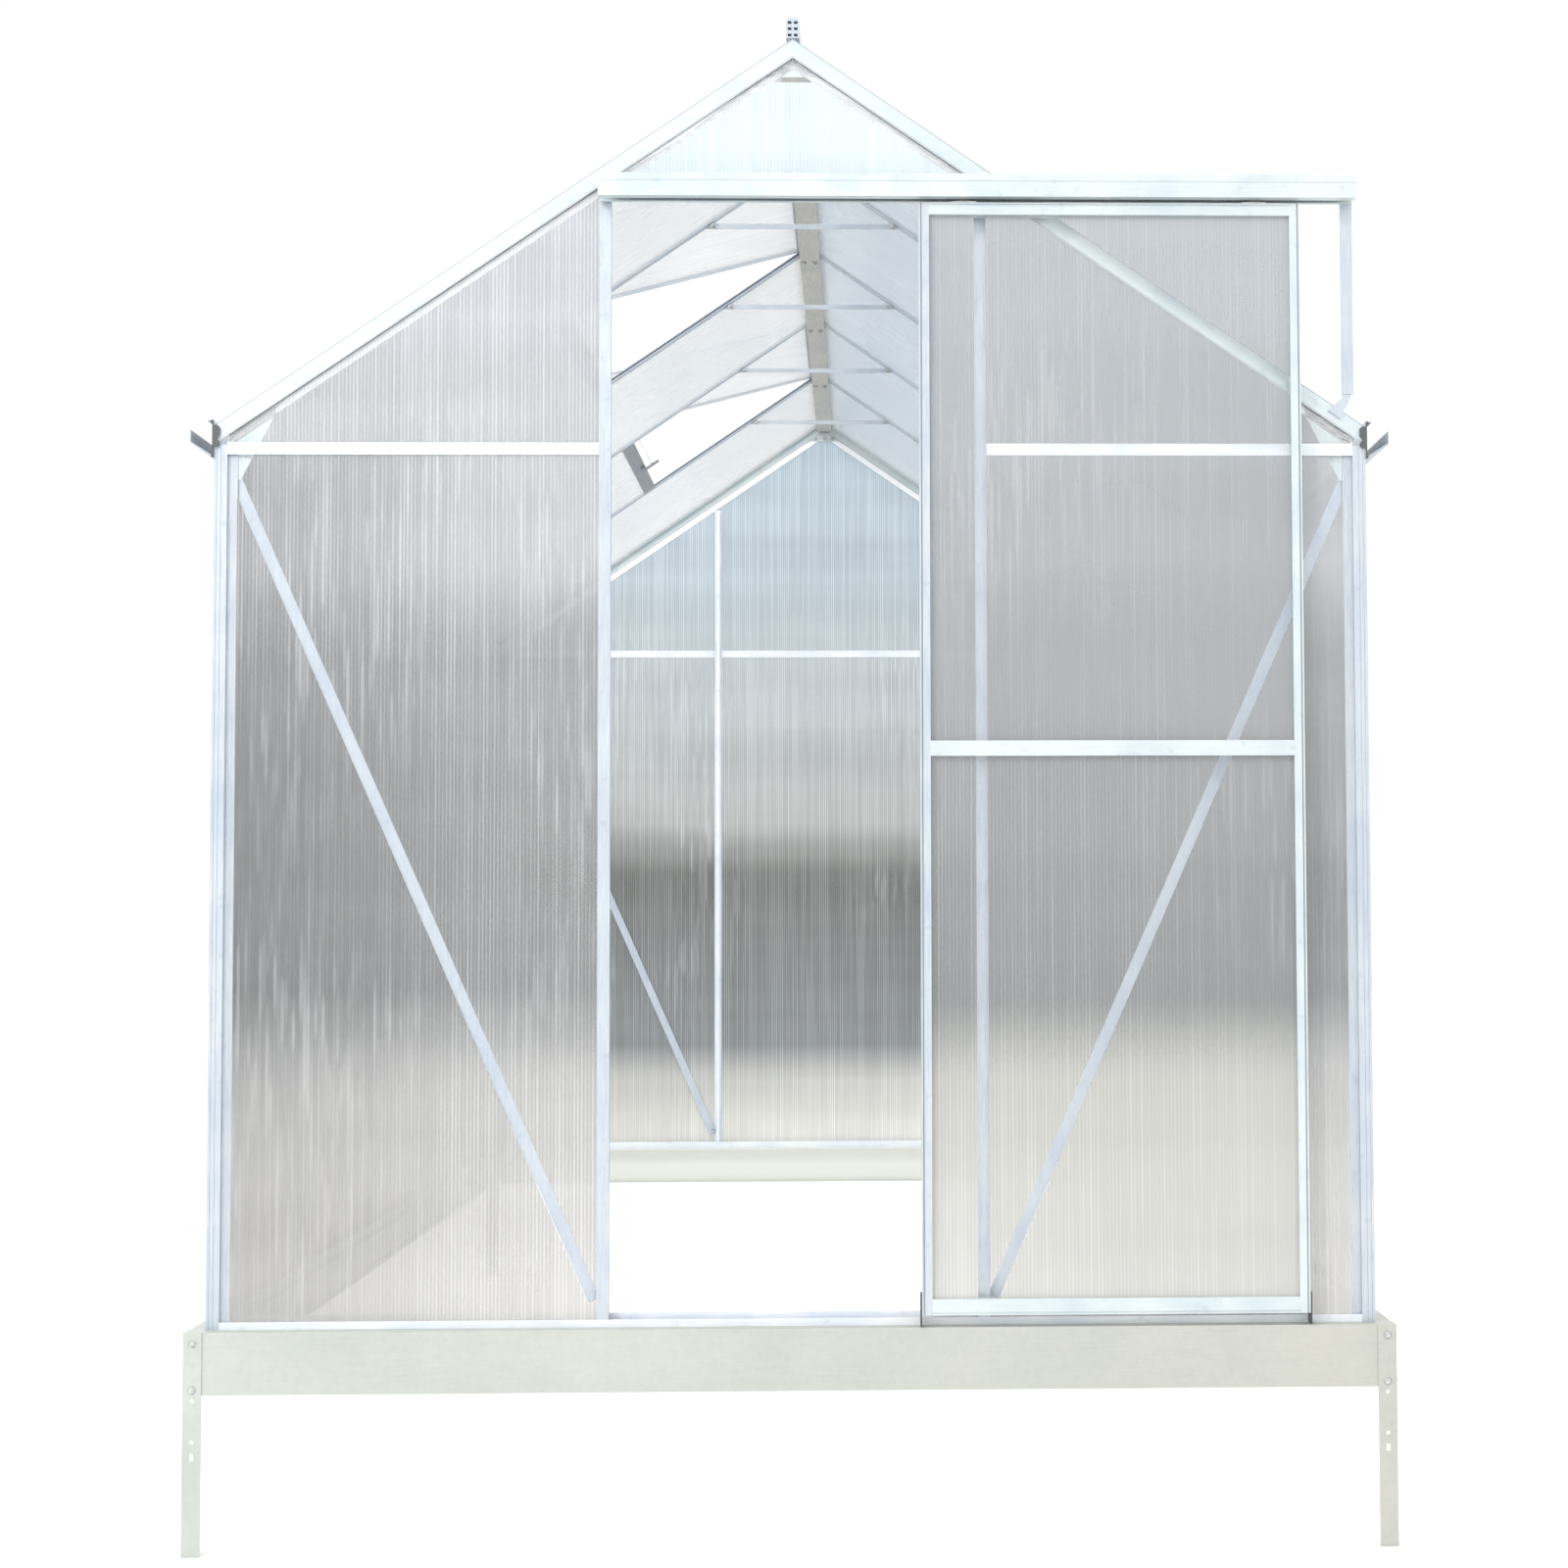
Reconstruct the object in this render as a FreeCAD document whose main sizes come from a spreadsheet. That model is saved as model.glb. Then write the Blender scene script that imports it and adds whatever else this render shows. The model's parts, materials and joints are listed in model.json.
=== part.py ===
import FreeCAD, Part
import math
import os
import Sketcher
from FreeCAD import Placement, Rotation, Vector

# A walk-in greenhouse: aluminium glazing bars, twin-wall panels, a sliding door, two roof vents,
# and a folded steel base with four ground stakes.  Millimetres.  X runs across the gables, Y from
# the door gable to the back gable, Z up.  The origin is under the middle, at the stakes' tips.

SIZES = {
    # overall frame
    "half_width": 950, "half_length": 1570, "bay": 620, "bay_inset": 20, "stud_x": 310,
    "deck": 355, "eave_top": 1430, "apex": 2124, "roof_rise": 650,
    # glazing bars: cap outside, panel behind it, flange behind the panel, foot inside
    "sheet": 1.6, "cap_half": 10, "web_half": 1.2, "flange_in": 6, "foot_half": 5, "bar_deep": 18,
    "panel_out": 2, "panel_thick": 4, "panel_gap": 1.3, "lip_tall": 12,
    # corner posts and gable rafters
    "post_tube": 22, "post_fin": 16, "post_top": 1442, "face_deep": 26, "lip_deep": 40,
    "line_one": 4.5, "line_two": 11.5, "line_wide": 1.2, "line_deep": 0.8, "eave_clear": 0.5,
    # ridge
    "ridge_web": 1.5, "ridge_half": 21, "ridge_low": 35, "ridge_wall": 1.3, "ridge_clear": 1,
    "crest_half": 11, "crest_tall": 36, "crest_lift": 1.5, "crest_wall": 2.8, "crest_core": 2,
    "crest_cell": 4.6, "crest_cap_half": 6,
    # eave and gutter
    "gutter_over": 5, "web_tall": 52, "arm_out": 36, "arm_drop": 10, "arm_rise": 25, "arm_wall": 2,
    "tip_tall": 20, "hook_out": 7, "boss_in": 10, "boss_neck": 6, "boss_low": 8, "boss_step": 8,
    # base of folded steel and its stakes
    "base_proud": 26, "base_tall": 100, "base_wall": 1.5, "base_top": 60, "base_foot": 20,
    "stake_wall": 2, "stake_leg": 30, "stake_hole": 3.2, "bolt_inset": 15, "bolt_high": 17,
    "bolt_low": 91, "pin_high": 108, "pin_low": 174, "slot_mid": 197.5, "slot_half": 5.5,
    # gable rails, braces and plates
    "rail_z": 1436, "header_z": 1876, "brace_half": 10, "brace_top_in": 35, "brace_top_z": 1385,
    "brace_end_in": 14, "brace_end_z": 42, "tie_low": 1985, "tie_high": 1995, "tie_thick": 2,
    "gusset_low": 1385, "gusset_far": 99, "gusset_foot": 22, "apex_plate_half": 60,
    "apex_plate_foot": 42, "apex_plate_low": 2062,
    # door track above the doorway, strut at its free end
    "track_back": 6, "track_deep": 40, "track_low": 1846, "track_tall": 38, "track_left": -318,
    "track_right": 930, "track_line": 12, "slot_back": 14, "slot_front": 30, "strut_wide": 20,
    "strut_low": 1528, "foot_left": 2, "foot_right": 4, "foot_drop": 5, "foot_far": 42,
    "foot_near": 22,
    # door, drawn where it stands part open
    "door_left": 208, "door_wide": 630, "door_back": 12, "door_thick": 20, "door_low": 20,
    "door_top": 1840, "stile_wide": 17, "top_rail": 20, "mid_rail_z": 938, "mid_rail": 25,
    "low_rail": 26, "groove": 9, "bead_in": 2.5, "bead_wide": 2.5, "bead_deep": 1.5, "roller": 12,
    "roller_wide": 8, "roller_gap": 0.3, "roller_clear": 2, "axle": 3, "axle_long": 14,
    "axle_gap": 0.05, "hanger_in": 75, "hanger_wide": 40, "hanger_thick": 2, "hanger_depth": 24,
    "guide_thick": 2.5, "guide_tall": 52, "guide_back": 7,
    # roof vents in the second and fourth bay of the left slope, drawn 20 degrees open
    "vent_open": 20, "pivot_down": 20, "pivot_in": 1, "vent_long": 533, "vent_half": 3.5,
    "vent_edge": 1.5, "vent_stile": 16, "vent_top": 12, "vent_groove": 8, "sill_in": 538,
    "sill_out": 572, "sill_web": 556, "stay_u": 508, "stay_w": 7, "stay_long": 169,
    "stay_wide": 14, "stay_thick": 2, "stay_turn": 76.8, "stay_eye": 3, "stay_bore": 1.8,
    "stay_pin": 1.6, "ear_in": 9, "ear_thick": 2, "ear_near": 504, "ear_foot": 514, "ear_gap": 0.2,
    "ear_slope": 7, "ear_deep": 10.5, "peg_s": 520, "peg_tip": 10, "peg_plate": 14, "peg": 3,
    "bracket_wide": 26, "bracket_reach": 502,
    # fasteners
    "nut": 5.5, "nut_tall": 4, "stub": 3, "stub_tall": 7, "head": 6.5, "head_face": 4.5,
    "head_tall": 3, "apex_bolt_up": 9, "apex_bolt_x": 26, "plate_bolt_near": 38,
    "plate_bolt_step": 24, "brace_bolt_down": 6, "brace_bolt_up": 8, "tie_bolt_x": 173,
    "ridge_bolt_x": 12,
}

LEFT, RIGHT = -1, 1
FRONT, BACK = -1, 1

doc = FreeCAD.newDocument("greenhouse")
dims = doc.addObject("Spreadsheet::Sheet", "dims")
sub_parts = []


class Size:
    """A number together with the spreadsheet formula that it comes from."""

    def __init__(self, number, formula=None):
        self.number = float(number)
        self.formula = formula if formula else "(%.10g)" % number

    def join(self, sign, other, number):
        return Size(number, "(%s %s %s)" % (self.formula, sign, other.formula))

    def __add__(self, other):
        other = as_size(other)
        return self.join("+", other, self.number + other.number)

    def __sub__(self, other):
        other = as_size(other)
        return self.join("-", other, self.number - other.number)

    def __mul__(self, other):
        other = as_size(other)
        return self.join("*", other, self.number * other.number)

    def __truediv__(self, other):
        other = as_size(other)
        return self.join("/", other, self.number / other.number)

    def __radd__(self, other):
        return as_size(other) + self

    def __rsub__(self, other):
        return as_size(other) - self

    def __rmul__(self, other):
        return as_size(other) * self

    def __neg__(self):
        return as_size(-1) * self


def as_size(value):
    return value if isinstance(value, Size) else Size(value)


def root(size):
    return Size(math.sqrt(size.number), "sqrt(%s)" % size.formula)


def arc_tangent(size):
    """The angle in degrees, as a plain number."""
    return Size(math.degrees(math.atan(size.number)), "(atan(%s) / (1 deg))" % size.formula)


def cosine(angle):
    return Size(math.cos(math.radians(angle.number)), "cos(%s)" % angle.formula)


def sine(angle):
    return Size(math.sin(math.radians(angle.number)), "sin(%s)" % angle.formula)


class Sheet:
    """The driving dimensions, read by name."""

    def __init__(self):
        for row, (name, value) in enumerate(SIZES.items(), start=1):
            cell = "A%d" % row
            dims.set(cell, "%g" % value)
            dims.setAlias(cell, name)
            setattr(self, name, Size(value, "dims." + name))
        doc.recompute()


D = Sheet()
SLOPE = D.roof_rise / D.half_width
SECANT = root(1 + SLOPE * SLOPE)
ROOF_ANGLE = arc_tangent(SLOPE)
APEX = D.deck + D.apex


def bind(thing, path, size):
    thing.setExpression(path, as_size(size).formula)


def remember(thing, label):
    thing.Label = label
    sub_parts.append(thing)
    return thing


def origin_plane(body, role):
    return next(plane for plane in body.Origin.OriginFeatures if plane.Role == role)


def new_sketch(body, role, start):
    """A sketch on one of the body's own planes, start away from it along +X, +Y or +Z."""
    sketch = body.newObject("Sketcher::SketchObject", body.Name + "_sketch")
    sketch.AttachmentSupport = [(origin_plane(body, role), "")]
    sketch.MapMode = "FlatFace"
    offset = as_size(start) * (-1 if role == "XZ_Plane" else 1)
    sketch.AttachmentOffset = Placement(Vector(0, 0, offset.number), Rotation())
    bind(sketch, "AttachmentOffset.Base.z", offset)
    return sketch


def fix_point(sketch, line, point, place):
    for kind, size in zip(("DistanceX", "DistanceY"), place):
        size = as_size(size)
        index = sketch.addConstraint(Sketcher.Constraint(kind, -1, 1, line, point, size.number))
        if "dims" in size.formula:
            sketch.setExpression("Constraints[%d]" % index, size.formula)


def draw_polygon(sketch, outline):
    first = sketch.GeometryCount
    points = [Vector(as_size(x).number, as_size(y).number, 0) for x, y in outline]
    ends = points[1:] + points[:1]
    sketch.addGeometry([Part.LineSegment(start, end) for start, end in zip(points, ends)], False)
    count = len(points)
    joints = [Sketcher.Constraint("Coincident", first + i, 2, first + (i + 1) % count, 1)
              for i in range(count)]
    sketch.addConstraint(joints)
    for index, place in enumerate(outline):
        fix_point(sketch, first + index, 1, place)


def draw_circle(sketch, centre, radius):
    middle = Vector(as_size(centre[0]).number, as_size(centre[1]).number, 0)
    line = sketch.addGeometry(Part.Circle(middle, Vector(0, 0, 1), radius.number), False)
    fix_point(sketch, line, 3, centre)
    index = sketch.addConstraint(Sketcher.Constraint("Radius", line, radius.number))
    sketch.setExpression("Constraints[%d]" % index, radius.formula)


def new_body(name):
    return doc.addObject("PartDesign::Body", name)


def pad(body, role, outlines, start, length):
    """Add the outlines, padded from start over length along the plane's axis."""
    sketch = new_sketch(body, role, start)
    for outline in outlines:
        draw_polygon(sketch, outline)
    feature = body.newObject("PartDesign::Pad", body.Name + "_pad")
    feature.Profile = sketch
    feature.Reversed = role == "XZ_Plane"
    bind(feature, "Length", length)
    return feature


def pad_disc(body, role, centre, radius, start, length):
    sketch = new_sketch(body, role, start)
    draw_circle(sketch, centre, radius)
    feature = body.newObject("PartDesign::Pad", body.Name + "_disc")
    feature.Profile = sketch
    feature.Reversed = role == "XZ_Plane"
    bind(feature, "Length", length)
    return feature


def drill(body, role, circles, polygons, start, length):
    """Cut holes along the plane's axis, from start over length."""
    doc.recompute()
    before = body.Shape.Volume
    sketch = new_sketch(body, role, start)
    for centre, radius in circles:
        draw_circle(sketch, centre, radius)
    for outline in polygons:
        draw_polygon(sketch, outline)
    feature = body.newObject("PartDesign::Pocket", body.Name + "_holes")
    feature.Profile = sketch
    feature.Reversed = role != "XZ_Plane"
    bind(feature, "Length", length)
    doc.recompute()
    if body.Shape.Volume >= before - 1:
        raise RuntimeError("the holes in %s cut nothing" % body.Name)


def rectangle(x_low, y_low, x_high, y_high):
    return [(x_low, y_low), (x_high, y_low), (x_high, y_high), (x_low, y_high)]


def plate(name, role, outline, start, length):
    """A body that is one padded outline."""
    body = new_body(name)
    pad(body, role, [outline], start, length)
    return body


def link_to(source, name, base):
    """The same piece again, moved by base."""
    link = doc.addObject("App::Link", name)
    link.LinkedObject = source
    link.Placement = Placement(Vector(*[as_size(size).number for size in base]), Rotation())
    for axis, size in zip("xyz", base):
        bind(link, "Placement.Base." + axis, size)
    return link


def group(label, pieces):
    compound = doc.addObject("Part::Compound", label)
    compound.Links = pieces
    return remember(compound, label)


def inward(end, near, far):
    """Start and length along Y of what lies near to far behind a gable's outer face."""
    start = -D.half_length + near if end == FRONT else D.half_length - far
    return start, as_size(far) - near


def bay_line(index):
    """Y of the wall studs and roof bars; 0 and 5 are the corner posts' middles."""
    return -D.half_length + D.bay_inset + D.bay * index


def roof_z(distance, depth):
    """Height of the line depth under the roof's outer face, at a distance from the ridge."""
    return APEX - SLOPE * distance - SECANT * depth


def roof_strip(side, near, far, top, bottom):
    """Outline in XZ of a strip of the roof, top to bottom under its outer face."""
    return [
        (near * side, roof_z(near, top)),
        (far * side, roof_z(far, top)),
        (far * side, roof_z(far, bottom)),
        (near * side, roof_z(near, bottom)),
    ]


def bar_outline(place):
    """Section of a glazing bar; place turns across and inward distances into sketch points."""
    cap, sheet, web = D.cap_half, D.sheet, D.web_half
    flange, foot, deep = D.flange_in, D.foot_half, D.bar_deep
    half = [(cap, 0), (cap, sheet), (web, sheet), (web, flange), (cap, flange),
            (cap, flange + sheet), (web, flange + sheet), (web, deep - sheet),
            (foot, deep - sheet), (foot, deep)]
    other = [(-across, depth) for across, depth in reversed(half)]
    return [place(across, as_size(depth)) for across, depth in half + other]


# ---------------------------------------------------------------- base and stakes

def base_strips(low):
    """Web, top flange and foot: depth from the outer face, height, and which corner trim fits."""
    wall = D.base_wall
    return (
        (as_size(0), wall, low, D.deck),
        (wall, D.base_top, D.deck - wall, D.deck),
        (wall, D.base_foot, low, low + wall),
    )


def base_end_rail(label, end):
    """Folded channel under a gable, open to the inside; its flanges stop at the side webs."""
    outer = D.half_length + D.base_proud
    wide = D.half_width + D.base_proud
    wall = D.base_wall
    body = new_body(label)
    trims = (as_size(0), wall, wall)
    for (near, far, bottom, top), trim in zip(base_strips(D.deck - D.base_tall), trims):
        outline = rectangle((outer - near) * end, bottom, (outer - far) * end, top)
        pad(body, "YZ_Plane", [outline], trim - wide, (wide - trim) * 2)
    start = -outer if end == FRONT else outer - wall
    drill(body, "XZ_Plane", stake_bolt_circles(wide), [], start, wall)
    remember(body, label)


def base_side_rail(label, side):
    """Folded channel under a side wall, between the two gable channels."""
    outer = D.half_width + D.base_proud
    long = D.half_length + D.base_proud
    wall = D.base_wall
    body = new_body(label)
    trims = (wall, D.base_top, D.base_foot)
    for (near, far, bottom, top), trim in zip(base_strips(D.deck - D.base_tall), trims):
        outline = rectangle((outer - near) * side, bottom, (outer - far) * side, top)
        pad(body, "XZ_Plane", [outline], trim - long, (long - trim) * 2)
    start = -outer if side == LEFT else outer - wall
    drill(body, "YZ_Plane", stake_bolt_circles(long), [], start, wall)
    remember(body, label)


def stake_bolt_circles(half_span):
    """Both corners' two bolt holes in one web, as centres and radii."""
    reach = half_span + D.stake_wall - D.bolt_inset
    return [((reach * side, D.deck - drop), D.stake_hole)
            for side in (LEFT, RIGHT) for drop in (D.bolt_high, D.bolt_low)]


def ground_stake(name, side, end):
    """Angle-section stake outside one base corner, with bolt holes and pin holes."""
    x_out = D.half_width + D.base_proud + D.stake_wall
    y_out = D.half_length + D.base_proud + D.stake_wall
    leg, wall = D.stake_leg, D.stake_wall
    corners = [(0, 0), (leg, 0), (leg, wall), (wall, wall), (wall, leg), (0, leg)]
    outline = [((x_out - across) * side, (y_out - along) * end) for across, along in corners]
    body = plate(name, "XY_Plane", outline, 0, D.deck)
    drops = (D.bolt_high, D.bolt_low, D.pin_high, D.pin_low)
    x_hole = (x_out - D.bolt_inset) * side
    y_hole = (y_out - D.bolt_inset) * end
    slot_z = D.deck - D.slot_mid
    half = D.stake_hole
    y_start = -y_out if end == FRONT else y_out - wall
    x_start = -x_out if side == LEFT else x_out - wall
    for role, middle, start in (("XZ_Plane", x_hole, y_start), ("YZ_Plane", y_hole, x_start)):
        circles = [((middle, D.deck - drop), D.stake_hole) for drop in drops]
        slot = rectangle(middle - half, slot_z - D.slot_half, middle + half, slot_z + D.slot_half)
        drill(body, role, circles, [slot], start, wall)
    return body


# ---------------------------------------------------------------- walls

def sill_section(place):
    """Section of the bottom channel: a floor, two lips that hold the panel, an inner upstand."""
    sheet, lip, flange, deep = D.sheet, D.lip_tall, D.flange_in, D.post_tube
    points = [(0, 0), (deep, 0), (deep, D.cap_half * 2), (deep - sheet, D.cap_half * 2),
              (deep - sheet, sheet), (flange + sheet, sheet), (flange + sheet, lip),
              (flange, lip), (flange, sheet), (sheet, sheet), (sheet, lip), (0, lip)]
    return [place(as_size(depth), D.deck + height) for depth, height in points]


def end_sill(label, end):
    half = D.half_width - D.post_tube
    outline = sill_section(lambda depth, z: ((D.half_length - depth) * end, z))
    remember(plate(label, "YZ_Plane", outline, -half, half * 2), label)


def side_sill(label, side):
    half = D.half_length - D.post_tube
    outline = sill_section(lambda depth, z: ((D.half_width - depth) * side, z))
    remember(plate(label, "XZ_Plane", outline, -half, half * 2), label)


def lined_square(tube):
    """Square with two shallow lines cut into each of the faces that meet at its first corner."""
    nothing, deep = as_size(0), D.line_deep
    edge = []
    for start in (D.line_one, D.line_two):
        end = start + D.line_wide
        edge += [(start, nothing), (start, deep), (end, deep), (end, nothing)]
    other = [(along, across) for across, along in reversed(edge)]
    return [(nothing, nothing)] + edge + [(tube, nothing), (tube, tube), (nothing, tube)] + other


def corner_post(label, side, end):
    """Square tube with one fin along each wall, behind the panels."""
    tube, wall, flange = D.post_tube, D.sheet, D.flange_in
    reach = tube + D.post_fin
    body = new_body(label)

    def at(across, along):
        return ((D.half_width - across) * side, (D.half_length - along) * end)

    def box(low_x, low_y, high_x, high_y):
        corners = rectangle(low_x, low_y, high_x, high_y)
        return [at(as_size(across), as_size(along)) for across, along in corners]

    lined = [at(across, along) for across, along in lined_square(tube)]
    pad(body, "XY_Plane", [lined, box(wall, wall, tube - wall, tube - wall)], D.deck, D.post_top)
    fin_low = D.deck + D.lip_tall
    pad(body, "XY_Plane", [box(tube, flange, reach, flange + wall)], fin_low,
        D.post_top - D.lip_tall)
    pad(body, "XY_Plane", [box(flange, tube, flange + wall, reach)], fin_low,
        D.eave_top - D.lip_tall * 2)
    remember(body, label)


def wall_stud(name, side, y):
    outline = bar_outline(lambda across, depth: ((D.half_width - depth) * side, y + across))
    return plate(name, "XY_Plane", outline, D.deck + D.lip_tall, D.eave_top - D.lip_tall * 2)


def side_studs(label, side):
    first = wall_stud(label + "_first", side, bay_line(1))
    others = [link_to(first, "%s_%d" % (label, index), (0, D.bay * index, 0)) for index in (1, 2, 3)]
    group(label, [first] + others)


def gable_stud(name, x, end):
    """Upright bar whose cap runs on up to the rafter's face."""
    side = 1 if x.number > 0 else -1
    outer = D.stud_x + D.cap_half
    inner = D.stud_x - D.cap_half
    outline = bar_outline(lambda across, depth: (x + across, (D.half_length - depth) * end))
    low = D.deck + D.lip_tall
    top = roof_z(outer, D.lip_deep)
    body = plate(name, "XY_Plane", outline, low, top - low)
    cap = [(outer * side, top), (inner * side, top), (inner * side, roof_z(inner, D.face_deep)),
           (outer * side, roof_z(outer, D.face_deep))]
    start, length = inward(end, 0, D.sheet)
    pad(body, "XZ_Plane", [cap], start, length)
    return body


def gable_rail(name, left, right, height, end, flange_trims):
    """Level bar in a gable; its flange stops short of fins beside it."""
    low, high = D.deck + height - D.cap_half, D.deck + height + D.cap_half
    middle = D.deck + height
    body = new_body(name)

    def strip(near, far, bottom, top):
        return rectangle((D.half_length - near) * end, bottom, (D.half_length - far) * end, top)

    pad(body, "YZ_Plane", [strip(as_size(0), D.sheet, low, high)], left, right - left)
    pad(body, "YZ_Plane", [strip(D.sheet, D.flange_in, middle - D.web_half, middle + D.web_half)],
        left, right - left)
    trim_left, trim_right = flange_trims
    pad(body, "YZ_Plane", [strip(D.flange_in, D.flange_in + D.sheet, low, high)],
        left + trim_left, right - trim_right - left - trim_left)
    return body


def brace(name, top, bottom, role, start, thick):
    """Flat bar between two points of a wall's plane."""
    across, drop = bottom[0] - top[0], top[1] - bottom[1]
    long = root(across * across + drop * drop)
    shift_x, shift_z = D.brace_half * drop / long, D.brace_half * across / long
    outline = [(top[0] - shift_x, top[1] - shift_z), (top[0] + shift_x, top[1] + shift_z),
               (bottom[0] + shift_x, bottom[1] + shift_z),
               (bottom[0] - shift_x, bottom[1] - shift_z)]
    return plate(name, role, outline, start, thick)


def gable_braces(label):
    """One brace beside each gable's doorway or middle bay, from corner post to stud foot."""
    pieces = []
    for end in (FRONT, BACK):
        start, thick = inward(end, D.flange_in + D.sheet * 2, D.flange_in + D.sheet * 3)
        for side in (LEFT, RIGHT):
            top = ((D.half_width - D.brace_top_in) * side, D.deck + D.brace_top_z)
            bottom = ((D.stud_x + D.brace_end_in) * side, D.deck + D.brace_end_z)
            name = "%s_%d" % (label, len(pieces))
            pieces.append(brace(name, top, bottom, "XZ_Plane", start, thick))
    return pieces


def side_braces(label):
    """One brace in each end bay of each side wall."""
    pieces = []
    behind = D.flange_in + D.sheet
    for side in (LEFT, RIGHT):
        start = behind - D.half_width if side == LEFT else D.half_width - behind - D.sheet
        for end in (FRONT, BACK):
            top = ((D.half_length - D.brace_top_in) * end, D.deck + D.brace_top_z)
            stud = D.half_length - D.bay_inset - D.bay
            bottom = ((stud + D.brace_end_in) * end, D.deck + D.brace_end_z)
            name = "%s_%d" % (label, len(pieces))
            pieces.append(brace(name, top, bottom, "YZ_Plane", start, D.sheet))
    return pieces


# ---------------------------------------------------------------- roof

def gable_rafter(label, side, end):
    """Edge section of the roof: top cap, gable face, web behind the panel, flange under the roof."""
    body = new_body(label)
    far = D.half_width - D.eave_clear
    near = as_size(0)
    sheet, flange, tube = D.sheet, D.flange_in, D.post_tube
    clear_of_ridge = D.ridge_half + D.ridge_clear
    strips = (
        (near, far, 0, sheet, 0, flange + sheet),
        (clear_of_ridge, far, 0, sheet, flange + sheet, tube),
        (near, far, sheet, D.face_deep, 0, sheet),
        (near, far - tube, sheet, D.lip_deep, flange, flange + sheet),
        (clear_of_ridge, far, flange, flange + sheet, flange + sheet, tube),
    )
    for x_near, x_far, top, bottom, y_near, y_far in strips:
        start, length = inward(end, y_near, y_far)
        pad(body, "XZ_Plane", [roof_strip(side, x_near, x_far, top, bottom)], start, length)
    remember(body, label)


def roof_bar(name, side, y):
    """Shallow glazing bar down one slope, from the ridge to the eave."""
    body = new_body(name)
    near, far = D.ridge_web, D.half_width - D.eave_clear
    sheet, flange = D.sheet, D.flange_in
    strips = ((0, sheet, D.cap_half), (sheet, flange, D.web_half),
              (flange, flange + sheet, D.cap_half))
    for top, bottom, half in strips:
        pad(body, "XZ_Plane", [roof_strip(side, near, far, top, bottom)], y - half, half * 2)
    return body


def roof_bars(label, side):
    first = roof_bar(label + "_first", side, bay_line(1))
    others = [link_to(first, "%s_%d" % (label, index), (0, D.bay * index, 0)) for index in (1, 2, 3)]
    group(label, [first] + others)


def ridge_beam(label):
    """Hollow lower box under the bars, and a ribbed hollow crest above them."""
    body = new_body(label)
    web, half, wall = D.ridge_web, D.ridge_half, D.ridge_wall
    low = APEX - D.ridge_low
    under = D.flange_in + D.sheet
    lower_half = [(half, low), (half, roof_z(half, under)), (web, roof_z(web, under)),
                  (web, APEX + D.crest_lift)]
    mirrored = [(-x, z) for x, z in reversed(lower_half)]
    cells = []
    for side in (LEFT, RIGHT):
        cells.append([(web * side, low + web), ((half - web) * side, low + web),
                      ((half - web) * side, roof_z(half - web, under + wall)),
                      (web * side, roof_z(web, under + wall * 2))])
    inner = (D.half_length - D.post_tube) * 2
    pad(body, "XZ_Plane", [lower_half + mirrored] + cells, -inner / 2, inner)
    bottom = APEX + D.crest_lift
    top = APEX + D.crest_tall
    shoulder = top - (D.crest_half - D.crest_cap_half)
    right = [(D.crest_half, bottom), (D.crest_half, shoulder), (D.crest_cap_half, top)]
    left = [(-x, z) for x, z in reversed(right)]
    rise = (top - bottom - D.crest_wall) / 3
    cells = []
    for level in range(3):
        cell_low = bottom + D.crest_wall + rise * level
        for side in (LEFT, RIGHT):
            cells.append(rectangle(D.crest_core * side, cell_low,
                                   (D.crest_half - D.crest_wall) * side, cell_low + D.crest_cell))
    pad(body, "XZ_Plane", [right + left] + cells, -D.half_length, D.half_length * 2)
    remember(body, label)


def gutter(label, side):
    """Eave channel over the wall panels, an upstand with a boss at each end, and a sloping arm."""
    body = new_body(label)
    sheet, wall = D.sheet, D.arm_wall
    eave = D.deck + D.eave_top
    top = eave + D.web_tall

    def at(out, height):
        return ((D.half_width + out) * side, height)

    root_low = eave - D.arm_drop
    tip_low = root_low + D.arm_rise
    outline = [at(0, root_low), at(wall, root_low), at(wall + D.arm_out, tip_low),
               at(wall + D.arm_out, tip_low + D.tip_tall), at(D.arm_out, tip_low + D.tip_tall),
               at(D.arm_out, tip_low + wall / 2), at(wall, root_low + wall * 2),
               at(wall, top - wall), at(wall + D.hook_out, top - wall),
               at(wall + D.hook_out, top), at(0, top)]
    long = D.half_length + D.gutter_over
    pad(body, "XZ_Plane", [outline], -long, long * 2)
    full, neck, step = -D.boss_in, -D.boss_neck, D.boss_step
    low = eave + D.boss_low
    boss = [at(0, low), at(neck, low), at(full, low + step / 2), at(full, low + step),
            at(neck, low + step * 3 / 2), at(neck, low + step * 2), at(full, low + step * 5 / 2),
            at(full, low + step * 4), at(neck, low + step * 9 / 2), at(0, low + step * 9 / 2)]
    for start in (-long, D.half_length):
        pad(body, "XZ_Plane", [boss], start, D.gutter_over)
    tube, flange = D.post_tube, D.flange_in
    lip = eave - D.lip_tall
    channel = [(0, eave + wall), (0, lip), (sheet, lip), (sheet, eave), (flange, eave),
               (flange, lip), (flange + sheet, lip), (flange + sheet, eave), (tube, eave),
               (tube, eave + wall)]
    inner = D.half_length - tube
    pad(body, "XZ_Plane", [[at(-as_size(depth), height) for depth, height in channel]],
        -inner, inner * 2)
    remember(body, label)


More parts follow.
